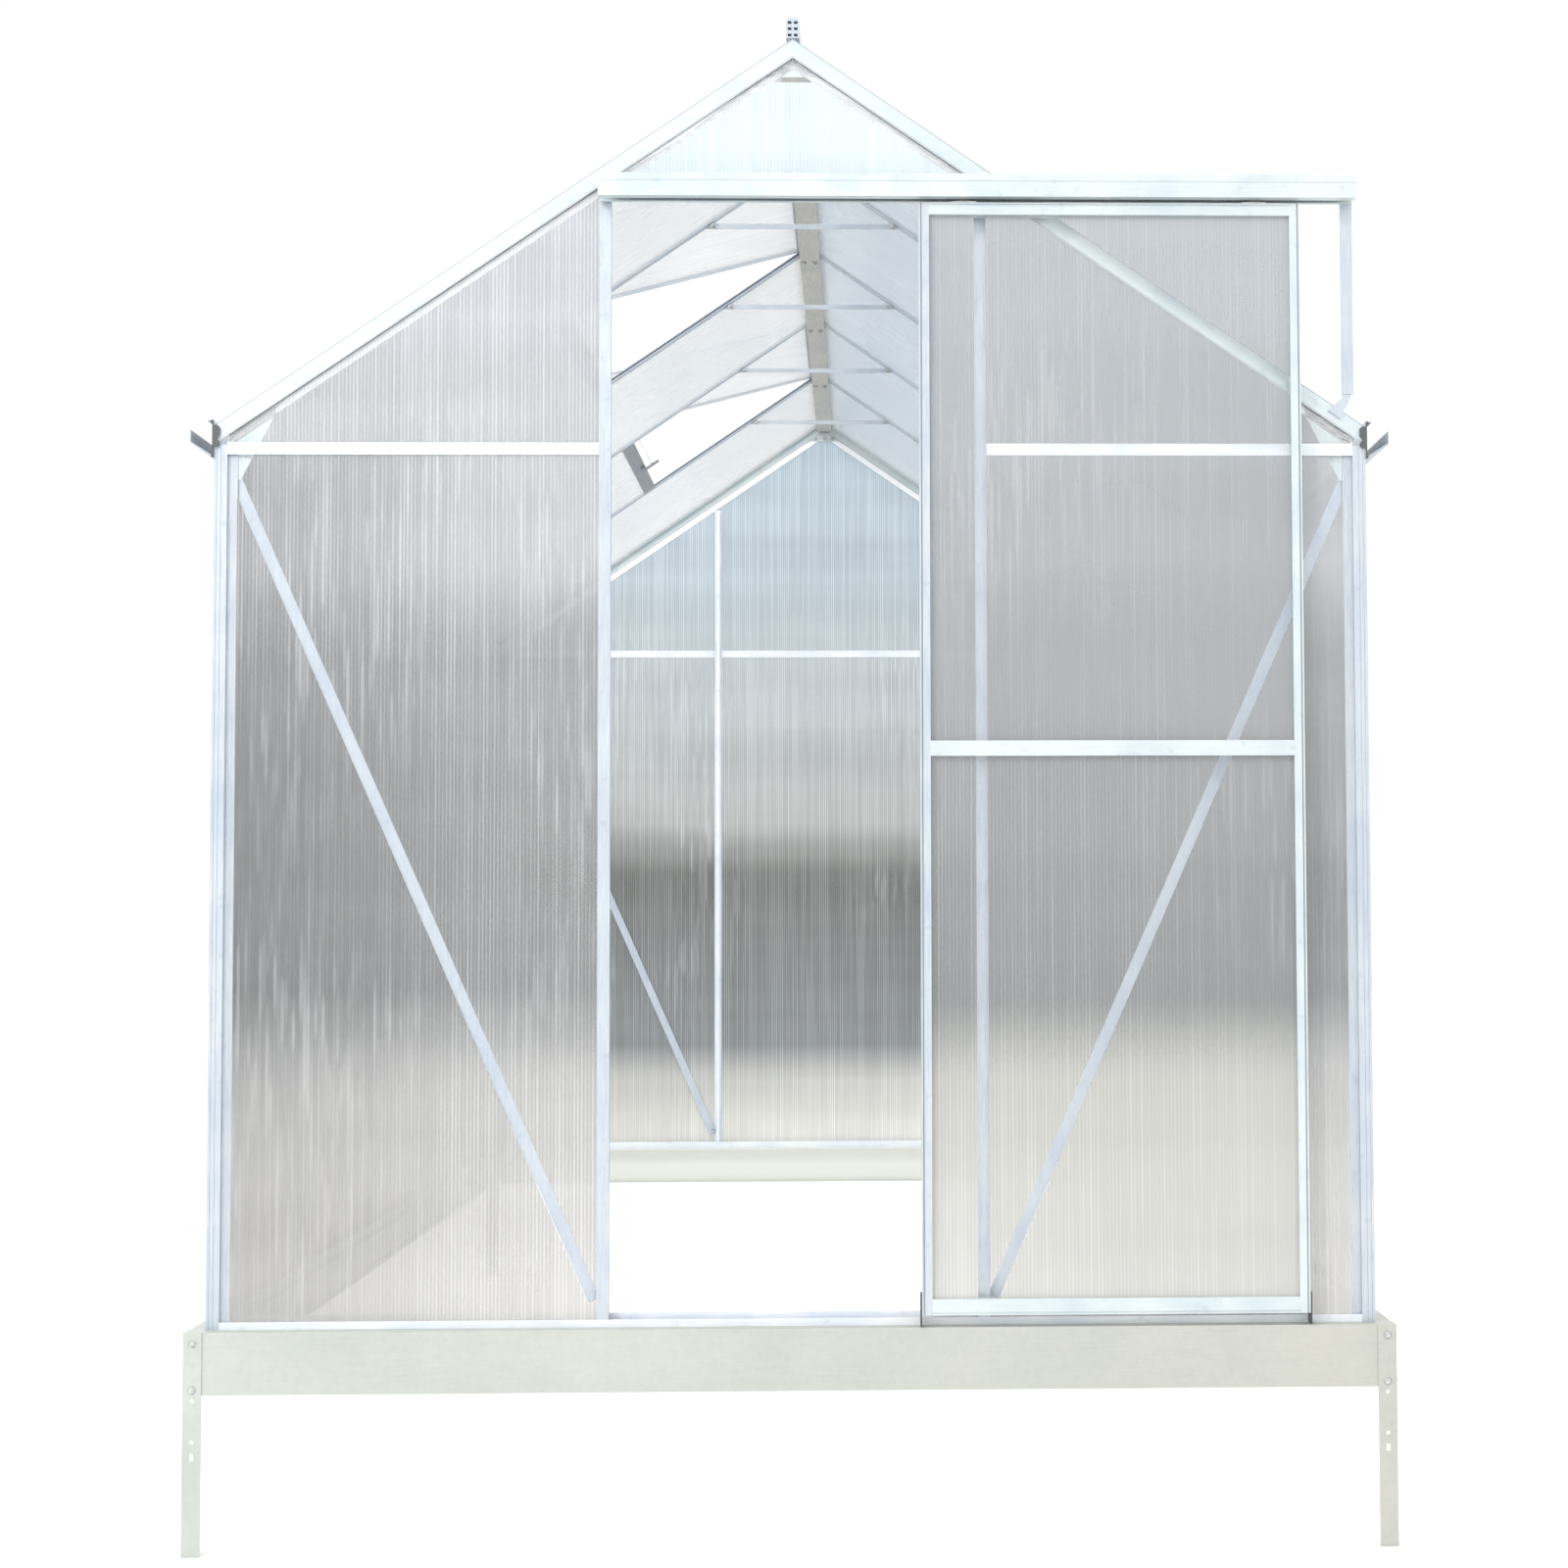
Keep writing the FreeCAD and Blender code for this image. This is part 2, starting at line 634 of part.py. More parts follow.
def collar_ties(label):
    """Level flat bars whose sloped ends meet the roof bars' undersides."""
    under = D.flange_in + D.sheet

    def reach(height):
        return (APEX - SECANT * under - D.deck - height) / SLOPE

    low, high = D.deck + D.tie_low, D.deck + D.tie_high
    outline = [(-reach(D.tie_low), low), (reach(D.tie_low), low), (reach(D.tie_high), high),
               (-reach(D.tie_high), high)]
    first = plate(label + "_first", "XZ_Plane", outline, bay_line(1) - D.tie_thick / 2, D.tie_thick)
    others = [link_to(first, "%s_%d" % (label, index), (0, D.bay * index, 0)) for index in (1, 2, 3)]
    group(label, [first] + others)


def gusset_plates(label):
    """Apex and eave corner plates behind both gables."""
    pieces = []
    half, low = D.apex_plate_half, D.deck + D.apex_plate_low
    apex = [(-half, roof_z(half, D.face_deep)), (0, roof_z(as_size(0), D.face_deep)),
            (half, roof_z(half, D.face_deep)), (D.apex_plate_foot, low),
            (-D.apex_plate_foot, low)]
    post, far = D.half_width - D.post_tube, D.half_width - D.gusset_far
    for end in (FRONT, BACK):
        start, thick = inward(end, D.flange_in + D.sheet, D.flange_in + D.sheet * 2)
        pieces.append(plate("%s_%d" % (label, len(pieces)), "XZ_Plane", apex, start, thick))
        for side in (LEFT, RIGHT):
            corner = [(post * side, D.deck + D.gusset_low),
                      ((post - D.gusset_foot) * side, D.deck + D.gusset_low),
                      (far * side, roof_z(far, D.lip_deep)), (far * side, roof_z(far, D.face_deep)),
                      (post * side, roof_z(post, D.face_deep))]
            pieces.append(plate("%s_%d" % (label, len(pieces)), "XZ_Plane", corner, start, thick))
    group(label, pieces)


# ---------------------------------------------------------------- panels

def gable_panel(name, points, end):
    start, thick = inward(end, D.panel_out, D.panel_out + D.panel_thick)
    return plate(name, "XZ_Plane", points, start, thick)


def gable_panels(label, end):
    """The panels between posts and studs, below and above the rail."""
    pieces = []
    gap = D.panel_gap
    foot = D.deck + D.panel_out
    rail = D.deck + D.rail_z
    edge = D.web_half + gap
    outer, inner = D.half_width - D.post_tube - gap, D.stud_x + edge
    top = D.lip_deep / 2
    for side in (LEFT, RIGHT):
        lower = rectangle(outer * side, foot, inner * side, rail - edge)
        upper = [(outer * side, rail + edge), (inner * side, rail + edge),
                 (inner * side, roof_z(inner, top)), (outer * side, roof_z(outer, top))]
        pieces.append(gable_panel("%s_%d" % (label, len(pieces)), lower, end))
        pieces.append(gable_panel("%s_%d" % (label, len(pieces)), upper, end))
    half = D.stud_x - edge
    low = rail + edge if end == BACK else D.deck + D.header_z + edge
    peak_half = half if end == BACK else half - D.cap_half * 2
    peak = [(-peak_half, low), (peak_half, low), (peak_half, roof_z(peak_half, top)),
            (0, roof_z(as_size(0), top)), (-peak_half, roof_z(peak_half, top))]
    pieces.append(gable_panel("%s_%d" % (label, len(pieces)), peak, end))
    if end == BACK:
        middle = rectangle(-half, foot, half, rail - edge)
        pieces.append(gable_panel("%s_%d" % (label, len(pieces)), middle, end))
    group(label, pieces)


def bay_span(index, margin):
    """Start and length along Y of a panel in one bay; margin is its gap to the gable's face."""
    edge = D.web_half + D.panel_gap
    low = bay_line(index) + edge if index > 0 else -D.half_length + margin
    high = bay_line(index + 1) - edge if index < 4 else D.half_length - margin
    return low, high - low


def wall_panels(label, side):
    pieces = []
    foot, top = D.deck + D.panel_out, D.deck + D.eave_top - D.panel_out
    near = D.half_width - D.panel_out
    start = -near if side == LEFT else near - D.panel_thick
    for index in range(5):
        low, long = bay_span(index, D.post_tube + D.panel_gap)
        outline = rectangle(low, foot, low + long, top)
        pieces.append(plate("%s_%d" % (label, index), "YZ_Plane", outline, start, D.panel_thick))
    group(label, pieces)


def roof_panels(label, side, vent_bays):
    pieces = []
    top, bottom = D.panel_out, D.panel_out + D.panel_thick
    far = D.half_width - D.panel_gap * 2
    below_sill = (D.sill_web + D.sheet * 2) / SECANT
    for index in range(5):
        near = below_sill if index in vent_bays else D.ridge_web + D.panel_gap
        low, long = bay_span(index, D.flange_in + D.sheet + D.panel_gap)
        outline = roof_strip(side, near, far, top, bottom)
        pieces.append(plate("%s_%d" % (label, index), "XZ_Plane", outline, low, long))
    group(label, pieces)


# ---------------------------------------------------------------- door and its track

def door_y(depth):
    """Y at a distance in front of the door gable's outer face."""
    return -D.half_length - depth


def door_track(label):
    """Box section with a slot below, through which the hangers pass."""
    low, top, sheet = D.deck + D.track_low, D.deck + D.track_low + D.track_tall, D.sheet
    back, front = door_y(D.track_back), door_y(D.track_back + D.track_deep)
    slot_back, slot_front = door_y(D.slot_back), door_y(D.slot_front)
    line, deep = top - D.track_line, D.line_deep
    outline = [(front, low), (slot_front, low), (slot_front, low + sheet),
               (front + sheet, low + sheet), (front + sheet, top - sheet),
               (back - sheet, top - sheet), (back - sheet, low + sheet),
               (slot_back, low + sheet), (slot_back, low), (back, low), (back, top), (front, top),
               (front, line), (front + deep, line), (front + deep, line - D.line_wide),
               (front, line - D.line_wide)]
    body = plate(label, "YZ_Plane", outline, D.track_left, D.track_right - D.track_left)
    lug = rectangle(back, top - D.cap_half * 2, -D.half_length, top - D.cap_half)
    for x in (-D.stud_x + D.cap_half * 2, D.stud_x - D.cap_half * 3):
        pad(body, "YZ_Plane", [lug], x, D.cap_half)
    remember(body, label)


def track_strut(label):
    """Upright behind the track's free end, standing on a bracket on the right rafter."""
    right = D.track_right
    left = right - D.strut_wide
    low, top = D.deck + D.strut_low, D.deck + D.track_low + D.track_tall - D.sheet * 2
    back = door_y(D.track_back)
    body = new_body(label)
    pad(body, "XZ_Plane", [rectangle(left, low, right, top)], back, D.sheet)
    pad(body, "XZ_Plane", [rectangle(right - D.sheet, low, right, top)], back + D.sheet,
        D.track_back - D.sheet * 2)
    tall = D.cap_half * 2
    near, far = right - D.foot_near, right - D.foot_far
    foot = [(left + D.foot_left, low + tall), (right - D.foot_right, low + tall),
            (right - D.foot_right, low - D.foot_drop), (near, roof_z(near, D.face_deep / 2)),
            (far, roof_z(far, D.face_deep / 2)), (left + D.foot_left, low - D.foot_drop)]
    pad(body, "XZ_Plane", [foot], back + D.sheet, D.track_back - D.sheet)
    remember(body, label)


def channel_section(place, wide):
    """Door stile or rail: grooved for the panel, with a sunk line along its front face."""
    thick, groove = D.door_thick, D.groove
    mid_low, mid_high = thick / 2 - D.panel_thick / 2, thick / 2 + D.panel_thick / 2
    near, far, sunk = D.bead_in, D.bead_in + D.bead_wide, thick - D.bead_deep
    points = [(0, 0), (wide, 0), (wide, mid_low), (wide - groove, mid_low),
              (wide - groove, mid_high), (wide, mid_high), (wide, thick), (far, thick),
              (far, sunk), (near, sunk), (near, thick), (0, thick)]
    return [place(as_size(across), as_size(depth)) for across, depth in points]


def door_stile(label, edge, direction):
    back = door_y(D.door_back)
    outline = channel_section(lambda across, depth: (edge + across * direction, back - depth),
                              D.stile_wide)
    low = D.deck + D.door_low
    remember(plate(label, "XY_Plane", outline, low, D.deck + D.door_top - low), label)


def door_rails(label):
    """Top, middle and bottom rails between the stiles; the middle one is grooved both ways."""
    back = door_y(D.door_back)
    left = D.door_left + D.stile_wide
    long = D.door_wide - D.stile_wide * 2
    low, top = D.deck + D.door_low, D.deck + D.door_top
    rails = []
    for index, (edge, direction, wide) in enumerate(((top, -1, D.top_rail), (low, 1, D.low_rail))):
        outline = channel_section(lambda across, depth: (back - depth, edge + across * direction), wide)
        rails.append(plate("%s_%d" % (label, index), "YZ_Plane", outline, left, long))
    thick, groove, half = D.door_thick, D.groove, D.mid_rail / 2
    middle = D.deck + D.mid_rail_z
    near, far = thick / 2 - D.panel_thick / 2, thick / 2 + D.panel_thick / 2
    upper = [(0, half), (near, half), (near, half - groove), (far, half - groove), (far, half),
             (thick, half)]
    lower = [(depth, -height) for depth, height in reversed(upper)]
    outline = [(back - depth, middle + height) for depth, height in upper + lower]
    rails.append(plate(label + "_mid", "YZ_Plane", outline, left, long))
    group(label, rails)


def door_panel(label, low, top):
    left = D.door_left + D.stile_wide - D.groove
    right = D.door_left + D.door_wide - D.stile_wide + D.groove
    start = door_y(D.door_back + D.door_thick / 2 + D.panel_thick / 2)
    remember(plate(label, "XZ_Plane", rectangle(left, low, right, top), start, D.panel_thick), label)


def roller_centre(side):
    """X and Z of one roller's axle."""
    x = D.door_left + D.hanger_in if side == LEFT else D.door_left + D.door_wide - D.hanger_in
    return x, D.deck + D.track_low + D.sheet + D.roller_gap + D.roller


def door_hangers(label):
    """Two angle hangers on the door's top rail, each with an axle inside the track."""
    pieces = []
    back = door_y(D.door_back)
    foot_low = D.deck + D.door_top
    plate_front = door_y(D.hanger_depth)
    for side in (LEFT, RIGHT):
        x, z = roller_centre(side)
        half = D.hanger_wide / 2
        body = new_body("%s_%d" % (label, len(pieces)))
        foot_top = foot_low + D.hanger_thick
        pad(body, "XZ_Plane", [rectangle(x - half, foot_low, x + half, foot_top)],
            back - D.door_thick, D.door_thick)
        pad(body, "XZ_Plane", [rectangle(x - half / 2, foot_top, x + half / 2, z + half / 2)],
            plate_front, D.hanger_thick)
        pad_disc(body, "XZ_Plane", (x, z), D.axle, plate_front - D.axle_long, D.axle_long)
        pieces.append(body)
    group(label, pieces)


def door_roller(label, side):
    """Grooveless wheel that runs on the track's front lip."""
    x, z = roller_centre(side)
    front = door_y(D.track_back + D.track_deep - D.sheet - D.roller_clear)
    body = new_body(label)
    pad_disc(body, "XZ_Plane", (x, z), D.roller, front, D.roller_wide)
    drill(body, "XZ_Plane", [((x, z), D.axle + D.axle_gap)], [], front, D.roller_wide)
    remember(body, label)


def door_guides(label):
    """Thin shoes on the door's bottom corners, reaching down beside the sill."""
    pieces = []
    low = D.deck + D.panel_out
    right = D.door_left + D.door_wide
    for index, left in enumerate((D.door_left - D.guide_thick, right)):
        outline = rectangle(left, low, left + D.guide_thick, low + D.guide_tall)
        start = door_y(D.door_back + D.door_thick)
        pieces.append(plate("%s_%d" % (label, index), "XZ_Plane", outline, start,
                            D.door_thick + D.guide_back))
    group(label, pieces)


# ---------------------------------------------------------------- roof vents

VENT_ANGLE = ROOF_ANGLE - D.vent_open
PIVOT_X = -(D.pivot_down - SLOPE * D.pivot_in) / SECANT
PIVOT_Z = APEX - (SLOPE * D.pivot_down + D.pivot_in) / SECANT
VENT_BAYS = {"front": 1, "rear": 3}


def place_at_pivot(thing, y, angle, x, z):
    """Set down a piece that was drawn level at the origin, tilted down towards -X."""
    thing.Placement = Placement(Vector(x.number, y.number, z.number),
                                Rotation(Vector(0, 1, 0), -angle.number))
    bind(thing, "Placement.Base.x", x)
    bind(thing, "Placement.Base.y", y)
    bind(thing, "Placement.Base.z", z)
    bind(thing, "Placement.Rotation.Angle", -angle)


def bay_middle(bay):
    return bay_line(bay) + D.bay / 2


def vent_half_wide():
    return D.bay / 2 - D.cap_half - D.vent_edge


def groove_section(place, wide):
    """Vent edge section: groove facing the panel."""
    half, slot, groove = D.vent_half, D.panel_thick / 2, D.vent_groove
    points = [(0, -half), (wide, -half), (wide, -slot), (wide - groove, -slot),
              (wide - groove, slot), (wide, slot), (wide, half), (0, half)]
    return [place(as_size(across), height) for across, height in points]


def vent_frame(label, bay):
    """Stiles and rails, drawn level with the hinge at the origin; the top rail's nose is round."""
    wide = vent_half_wide()
    stile, lower = D.vent_stile, -D.vent_long
    top = new_body(label + "_top")
    outline = groove_section(lambda across, z: (-across, z), D.vent_top)
    pad(top, "XZ_Plane", [outline], -wide, wide * 2)
    pad_disc(top, "XZ_Plane", (0, 0), D.vent_half, -wide, wide * 2)
    outline = groove_section(lambda across, z: (lower + across, z), stile)
    rails = [top, plate(label + "_bottom", "XZ_Plane", outline, -wide, wide * 2)]
    for index, side in enumerate((LEFT, RIGHT)):
        outline = groove_section(lambda across, z: ((wide - across) * side, z), stile)
        rails.append(plate("%s_stile_%d" % (label, index), "YZ_Plane", outline, lower + stile,
                           -lower - stile - D.vent_top))
    frame = group(label, rails + [stay_ears(label + "_ears")])
    place_at_pivot(frame, bay_middle(bay), VENT_ANGLE, PIVOT_X, PIVOT_Z)


def stay_ears(name):
    """Two ears under the bottom rail with the stay's pin between them."""
    body = new_body(name)
    inner, thick = D.ear_in, D.ear_thick
    reach = inner + thick
    pad_disc(body, "XZ_Plane", (-D.stay_u, -D.stay_w), D.stay_pin, -reach, reach * 2)
    far, top = D.vent_stile - D.vent_long, -D.panel_thick / 2 - D.ear_gap
    outline = [(far, top), (-D.ear_near, top), (-D.ear_near, -D.ear_deep),
               (-D.ear_foot, -D.ear_deep), (far, -D.ear_slope)]
    for start in (-reach, inner):
        pad(body, "XZ_Plane", [outline], start, thick)
    return body


def vent_panel(label, bay):
    edge = D.vent_stile - D.vent_groove
    wide = vent_half_wide() - edge
    outline = rectangle(-D.vent_long + edge, -wide, D.vent_groove - D.vent_top, wide)
    panel = plate(label, "XY_Plane", outline, -D.panel_thick / 2, D.panel_thick)
    remember(panel, label)
    place_at_pivot(panel, bay_middle(bay), VENT_ANGLE, PIVOT_X, PIVOT_Z)


def vent_stay(label, bay):
    """Flat prop with a rolled eye, hung from the vent's bottom rail, reaching for the peg."""
    x = PIVOT_X - cosine(VENT_ANGLE) * D.stay_u + sine(VENT_ANGLE) * D.stay_w
    z = PIVOT_Z - sine(VENT_ANGLE) * D.stay_u - cosine(VENT_ANGLE) * D.stay_w
    half, thick = D.stay_wide / 2, D.stay_thick / 2
    body = new_body(label)
    pad_disc(body, "XZ_Plane", (0, 0), D.stay_eye, -half, D.stay_wide)
    pad(body, "XY_Plane", [rectangle(D.stay_bore, -half, D.stay_long, half)], -thick, D.stay_thick)
    drill(body, "XZ_Plane", [((0, 0), D.stay_bore)], [], -half, D.stay_wide)
    remember(body, label)
    place_at_pivot(body, bay_middle(bay), VENT_ANGLE - D.stay_turn, x, z)


def vent_sills(label):
    """Bar below each vent, with a bracket and peg for the stay."""
    pieces = []
    sheet, flange = D.sheet, D.flange_in
    half = D.bay / 2 - D.web_half - D.panel_gap
    clear = D.bay / 2 - D.cap_half
    strips = (
        (D.sill_in, D.sill_out, flange, flange + sheet, clear),
        (D.sill_web, D.sill_web + sheet, sheet, flange, half),
        (D.sill_web, D.sill_out, 0, sheet, clear),
    )
    bracket = D.bracket_wide / 2
    for index, bay in enumerate(VENT_BAYS.values()):
        body = new_body("%s_%d" % (label, index))
        y = bay_middle(bay)
        for near, far, top, bottom, reach in strips:
            outline = slope_box(near, far, top, bottom)
            pad(body, "XZ_Plane", [outline], y - reach, reach * 2)
        step = D.sill_in + D.cap_half
        for near, far, top, bottom in (
                (step, step + sheet, flange + sheet, D.peg_plate + sheet),
                (D.bracket_reach, step, D.peg_plate, D.peg_plate + sheet)):
            outline = slope_box(near, far, top, bottom)
            pad(body, "XZ_Plane", [outline], y - bracket, D.bracket_wide)
        peg = slope_box(D.peg_s - D.peg, D.peg_s + D.peg, D.peg_tip, D.peg_plate)
        pad(body, "XZ_Plane", [peg], y - D.peg, D.peg * 2)
        pieces.append(body)
    group(label, pieces)


def slope_box(near, far, top, bottom):
    """Rectangle in XZ, square to the left slope: near to far down it, top to bottom into it."""
    def at(down, depth):
        down, depth = as_size(down), as_size(depth)
        return ((down - SLOPE * depth) / SECANT * -1, APEX - (SLOPE * down + depth) / SECANT)

    return [at(near, top), at(far, top), at(far, bottom), at(near, bottom)]


# ---------------------------------------------------------------- fasteners

def nut_and_stub(name):
    """Hexagonal nut on a short thread end, standing on its own origin along +Z."""
    nut = doc.addObject("Part::Prism", name + "_nut")
    nut.Polygon = 6
    bind(nut, "Circumradius", D.nut)
    bind(nut, "Height", D.nut_tall)
    stub = doc.addObject("Part::Cylinder", name + "_stub")
    bind(stub, "Radius", D.stub)
    bind(stub, "Height", D.stub_tall)
    both = doc.addObject("Part::MultiFuse", name)
    both.Shapes = [nut, stub]
    return both


def stake_bolt(name):
    """Domed head outside, shank through stake and base, nut inside, along +Z into the base."""
    head = doc.addObject("Part::Cone", name + "_head")
    bind(head, "Radius1", D.head_face)
    bind(head, "Radius2", D.head)
    bind(head, "Height", D.head_tall)
    head.Placement = Placement(Vector(0, 0, -D.head_tall.number), Rotation())
    bind(head, "Placement.Base.z", -D.head_tall)
    shank = doc.addObject("Part::Cylinder", name + "_shank")
    bind(shank, "Radius", D.stub)
    bind(shank, "Height", D.stake_wall + D.base_wall + D.stub_tall)
    nut = doc.addObject("Part::Prism", name + "_nut")
    nut.Polygon = 6
    bind(nut, "Circumradius", D.nut)
    bind(nut, "Height", D.nut_tall)
    nut.Placement = Placement(Vector(0, 0, D.stake_wall.number + D.base_wall.number), Rotation())
    bind(nut, "Placement.Base.z", D.stake_wall + D.base_wall)
    whole = doc.addObject("Part::MultiFuse", name)
    whole.Shapes = [head, shank, nut]
    return whole


def set_down(source, name, place, axis, angle):
    """One more fastener, turned about an axis so that its own +Z points where it should."""
    link = doc.addObject("App::Link", name)
    link.LinkedObject = source
    numbers = [as_size(size).number for size in place]
    link.Placement = Placement(Vector(*numbers), Rotation(axis, angle))
    for letter, size in zip("xyz", place):
        bind(link, "Placement.Base." + letter, size)
    return link


def frame_bolts(label):
    """Nuts at plates, braces and ties, and under the ridge beside each roof bar."""
    pattern = nut_and_stub(label + "_pattern")
    behind = D.flange_in + D.sheet * 2
    pieces = []
    plate_mid = (D.face_deep + D.lip_deep) / 2
    for end in (FRONT, BACK):
        y_plate = (D.half_length - behind) * end
        y_brace = (D.half_length - behind - D.sheet) * end
        apex_z = D.deck + D.apex_plate_low + D.apex_bolt_up
        spots = [(D.apex_bolt_x * step, apex_z, y_plate) for step in (-1, 0, 1)]
        for side in (LEFT, RIGHT):
            for step in range(3):
                distance = D.half_width - D.plate_bolt_near - D.plate_bolt_step * step
                spots.append((distance * side, roof_z(distance, plate_mid), y_plate))
            spots.append(((D.half_width - D.brace_top_in) * side,
                          D.deck + D.brace_top_z - D.brace_bolt_down, y_brace))
            spots.append(((D.stud_x + D.brace_end_in) * side,
                          D.deck + D.brace_end_z + D.brace_bolt_up, y_brace))
        turn = 90 if end == BACK else -90
        for x, z, y in spots:
            name = "%s_%d" % (label, len(pieces))
            pieces.append(set_down(pattern, name, (x, y, z), Vector(1, 0, 0), turn))
    for index in (1, 2, 3, 4):
        for side in (LEFT, RIGHT):
            name = "%s_%d" % (label, len(pieces))
            y = bay_line(index) - D.tie_thick / 2
            z = D.deck + (D.tie_low + D.tie_high) / 2
            pieces.append(set_down(pattern, name, (D.tie_bolt_x * side, y, z), Vector(1, 0, 0), 90))
            name = "%s_%d" % (label, len(pieces))
            place = (D.ridge_bolt_x * side, bay_line(index), APEX - D.ridge_low)
            pieces.append(set_down(pattern, name, place, Vector(1, 0, 0), 180))
    group(label, pieces)


def stake_bolts(label):
    """Two bolts through each leg of each stake."""
    pattern = stake_bolt(label + "_pattern")
    pieces = []
    x_out = D.half_width + D.base_proud + D.stake_wall
    y_out = D.half_length + D.base_proud + D.stake_wall
    for side in (LEFT, RIGHT):
        for end in (FRONT, BACK):
            for drop in (D.bolt_high, D.bolt_low):
                z = D.deck - drop
                name = "%s_%d" % (label, len(pieces))
                pieces.append(set_down(pattern, name, ((x_out - D.bolt_inset) * side, y_out * end, z),
                                       Vector(1, 0, 0), 90 * end))
                name = "%s_%d" % (label, len(pieces))
                pieces.append(set_down(pattern, name, (x_out * side, (y_out - D.bolt_inset) * end, z),
                                       Vector(0, 1, 0), -90 * side))
    group(label, pieces)


# ---------------------------------------------------------------- assembly

def build_base():
    base_end_rail("base_rail_front", FRONT)
    base_end_rail("base_rail_back", BACK)
    base_side_rail("base_rail_left", LEFT)
    base_side_rail("base_rail_right", RIGHT)
    corners = [(side, end) for end in (FRONT, BACK) for side in (LEFT, RIGHT)]
    group("corner_stakes", [ground_stake("stake_%d" % index, side, end)
                            for index, (side, end) in enumerate(corners)])
    stake_bolts("stake_bolts")


def build_walls():
    for name, end in (("front", FRONT), ("back", BACK)):
        end_sill("sill_" + name, end)
        for side_name, side in (("left", LEFT), ("right", RIGHT)):
            corner_post("corner_post_%s_%s" % (name, side_name), side, end)
    for name, side in (("left", LEFT), ("right", RIGHT)):
        side_sill("sill_" + name, side)
        side_studs("side_studs_" + name, side)
        remember(gable_stud("door_post_" + name, D.stud_x * side, FRONT), "door_post_" + name)
    group("back_studs", [gable_stud("back_stud_%d" % index, D.stud_x * side, BACK)
                         for index, side in enumerate((LEFT, RIGHT))])
    outer, inner = D.half_width - D.post_tube, D.stud_x + D.cap_half
    fin, none = D.post_fin, as_size(0)
    remember(gable_rail("gable_rail_front_left", -outer, -inner, D.rail_z, FRONT, (fin, none)),
             "gable_rail_front_left")
    remember(gable_rail("gable_rail_front_right", inner, outer, D.rail_z, FRONT, (none, fin)),
             "gable_rail_front_right")
    half = D.stud_x - D.cap_half
    remember(gable_rail("door_header", -half, half, D.header_z, FRONT, (fin * 2, fin * 2)),
             "door_header")
    group("gable_rails_back", [
        gable_rail("back_rail_left", -outer, -inner, D.rail_z, BACK, (fin, none)),
        gable_rail("back_rail_middle", -half, half, D.rail_z, BACK, (none, none)),
        gable_rail("back_rail_right", inner, outer, D.rail_z, BACK, (none, fin)),
    ])
    group("wall_braces", gable_braces("gable_brace") + side_braces("side_brace"))


def build_roof():
    ridge_beam("ridge_beam")
    for name, side in (("left", LEFT), ("right", RIGHT)):
        gutter("gutter_" + name, side)
        gable_rafter("gable_rafter_front_" + name, side, FRONT)
        gable_rafter("gable_rafter_back_" + name, side, BACK)
        roof_bars("roof_bars_" + name, side)
    collar_ties("collar_ties")
    gusset_plates("gusset_plates")
    frame_bolts("frame_bolts")
    vent_sills("vent_sills")


def build_panels():
    gable_panels("panels_front_gable", FRONT)
    gable_panels("panels_back_gable", BACK)
    wall_panels("panels_left_wall", LEFT)
    wall_panels("panels_right_wall", RIGHT)
    roof_panels("panels_roof_left", LEFT, VENT_BAYS.values())
    roof_panels("panels_roof_right", RIGHT, ())


def build_door():
    door_track("door_track")
    track_strut("track_strut")
    door_stile("door_stile_left", D.door_left, 1)
    door_stile("door_stile_right", D.door_left + D.door_wide, -1)
    door_rails("door_rails")
    low, top, middle = D.deck + D.door_low, D.deck + D.door_top, D.deck + D.mid_rail_z
    reach = D.mid_rail / 2 - D.groove
    door_panel("door_panel_upper", middle + reach, top - D.top_rail + D.groove)
    door_panel("door_panel_lower", low + D.low_rail - D.groove, middle - reach)
    door_hangers("door_hangers")
    door_roller("door_roller_left", LEFT)
    door_roller("door_roller_right", RIGHT)
    door_guides("door_guides")


def build_vents():
    for name, bay in VENT_BAYS.items():
        vent_frame("vent_%s_frame" % name, bay)
        vent_panel("vent_%s_panel" % name, bay)
        vent_stay("vent_%s_stay" % name, bay)


def check_everything():
    for thing in doc.Objects:
        if "Invalid" in thing.State or "Error" in thing.State:
            raise RuntimeError("%s failed to build" % thing.Name)
    for thing in sub_parts:
        if thing.Shape.isNull() or not thing.Shape.isValid() or not thing.Shape.Solids:
            raise RuntimeError("%s has no valid solid" % thing.Label)


build_base()
build_walls()
build_roof()
build_panels()
build_door()
build_vents()
doc.recompute()
check_everything()
os.makedirs("parts", exist_ok=True)
for thing in sub_parts:
    thing.Shape.exportStep("parts/%s.step" % thing.Label)
print("sub-parts:", len(sub_parts), "solids:", sum(len(thing.Shape.Solids) for thing in sub_parts))
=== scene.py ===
import json
import math

import bpy
from mathutils import Matrix, Vector


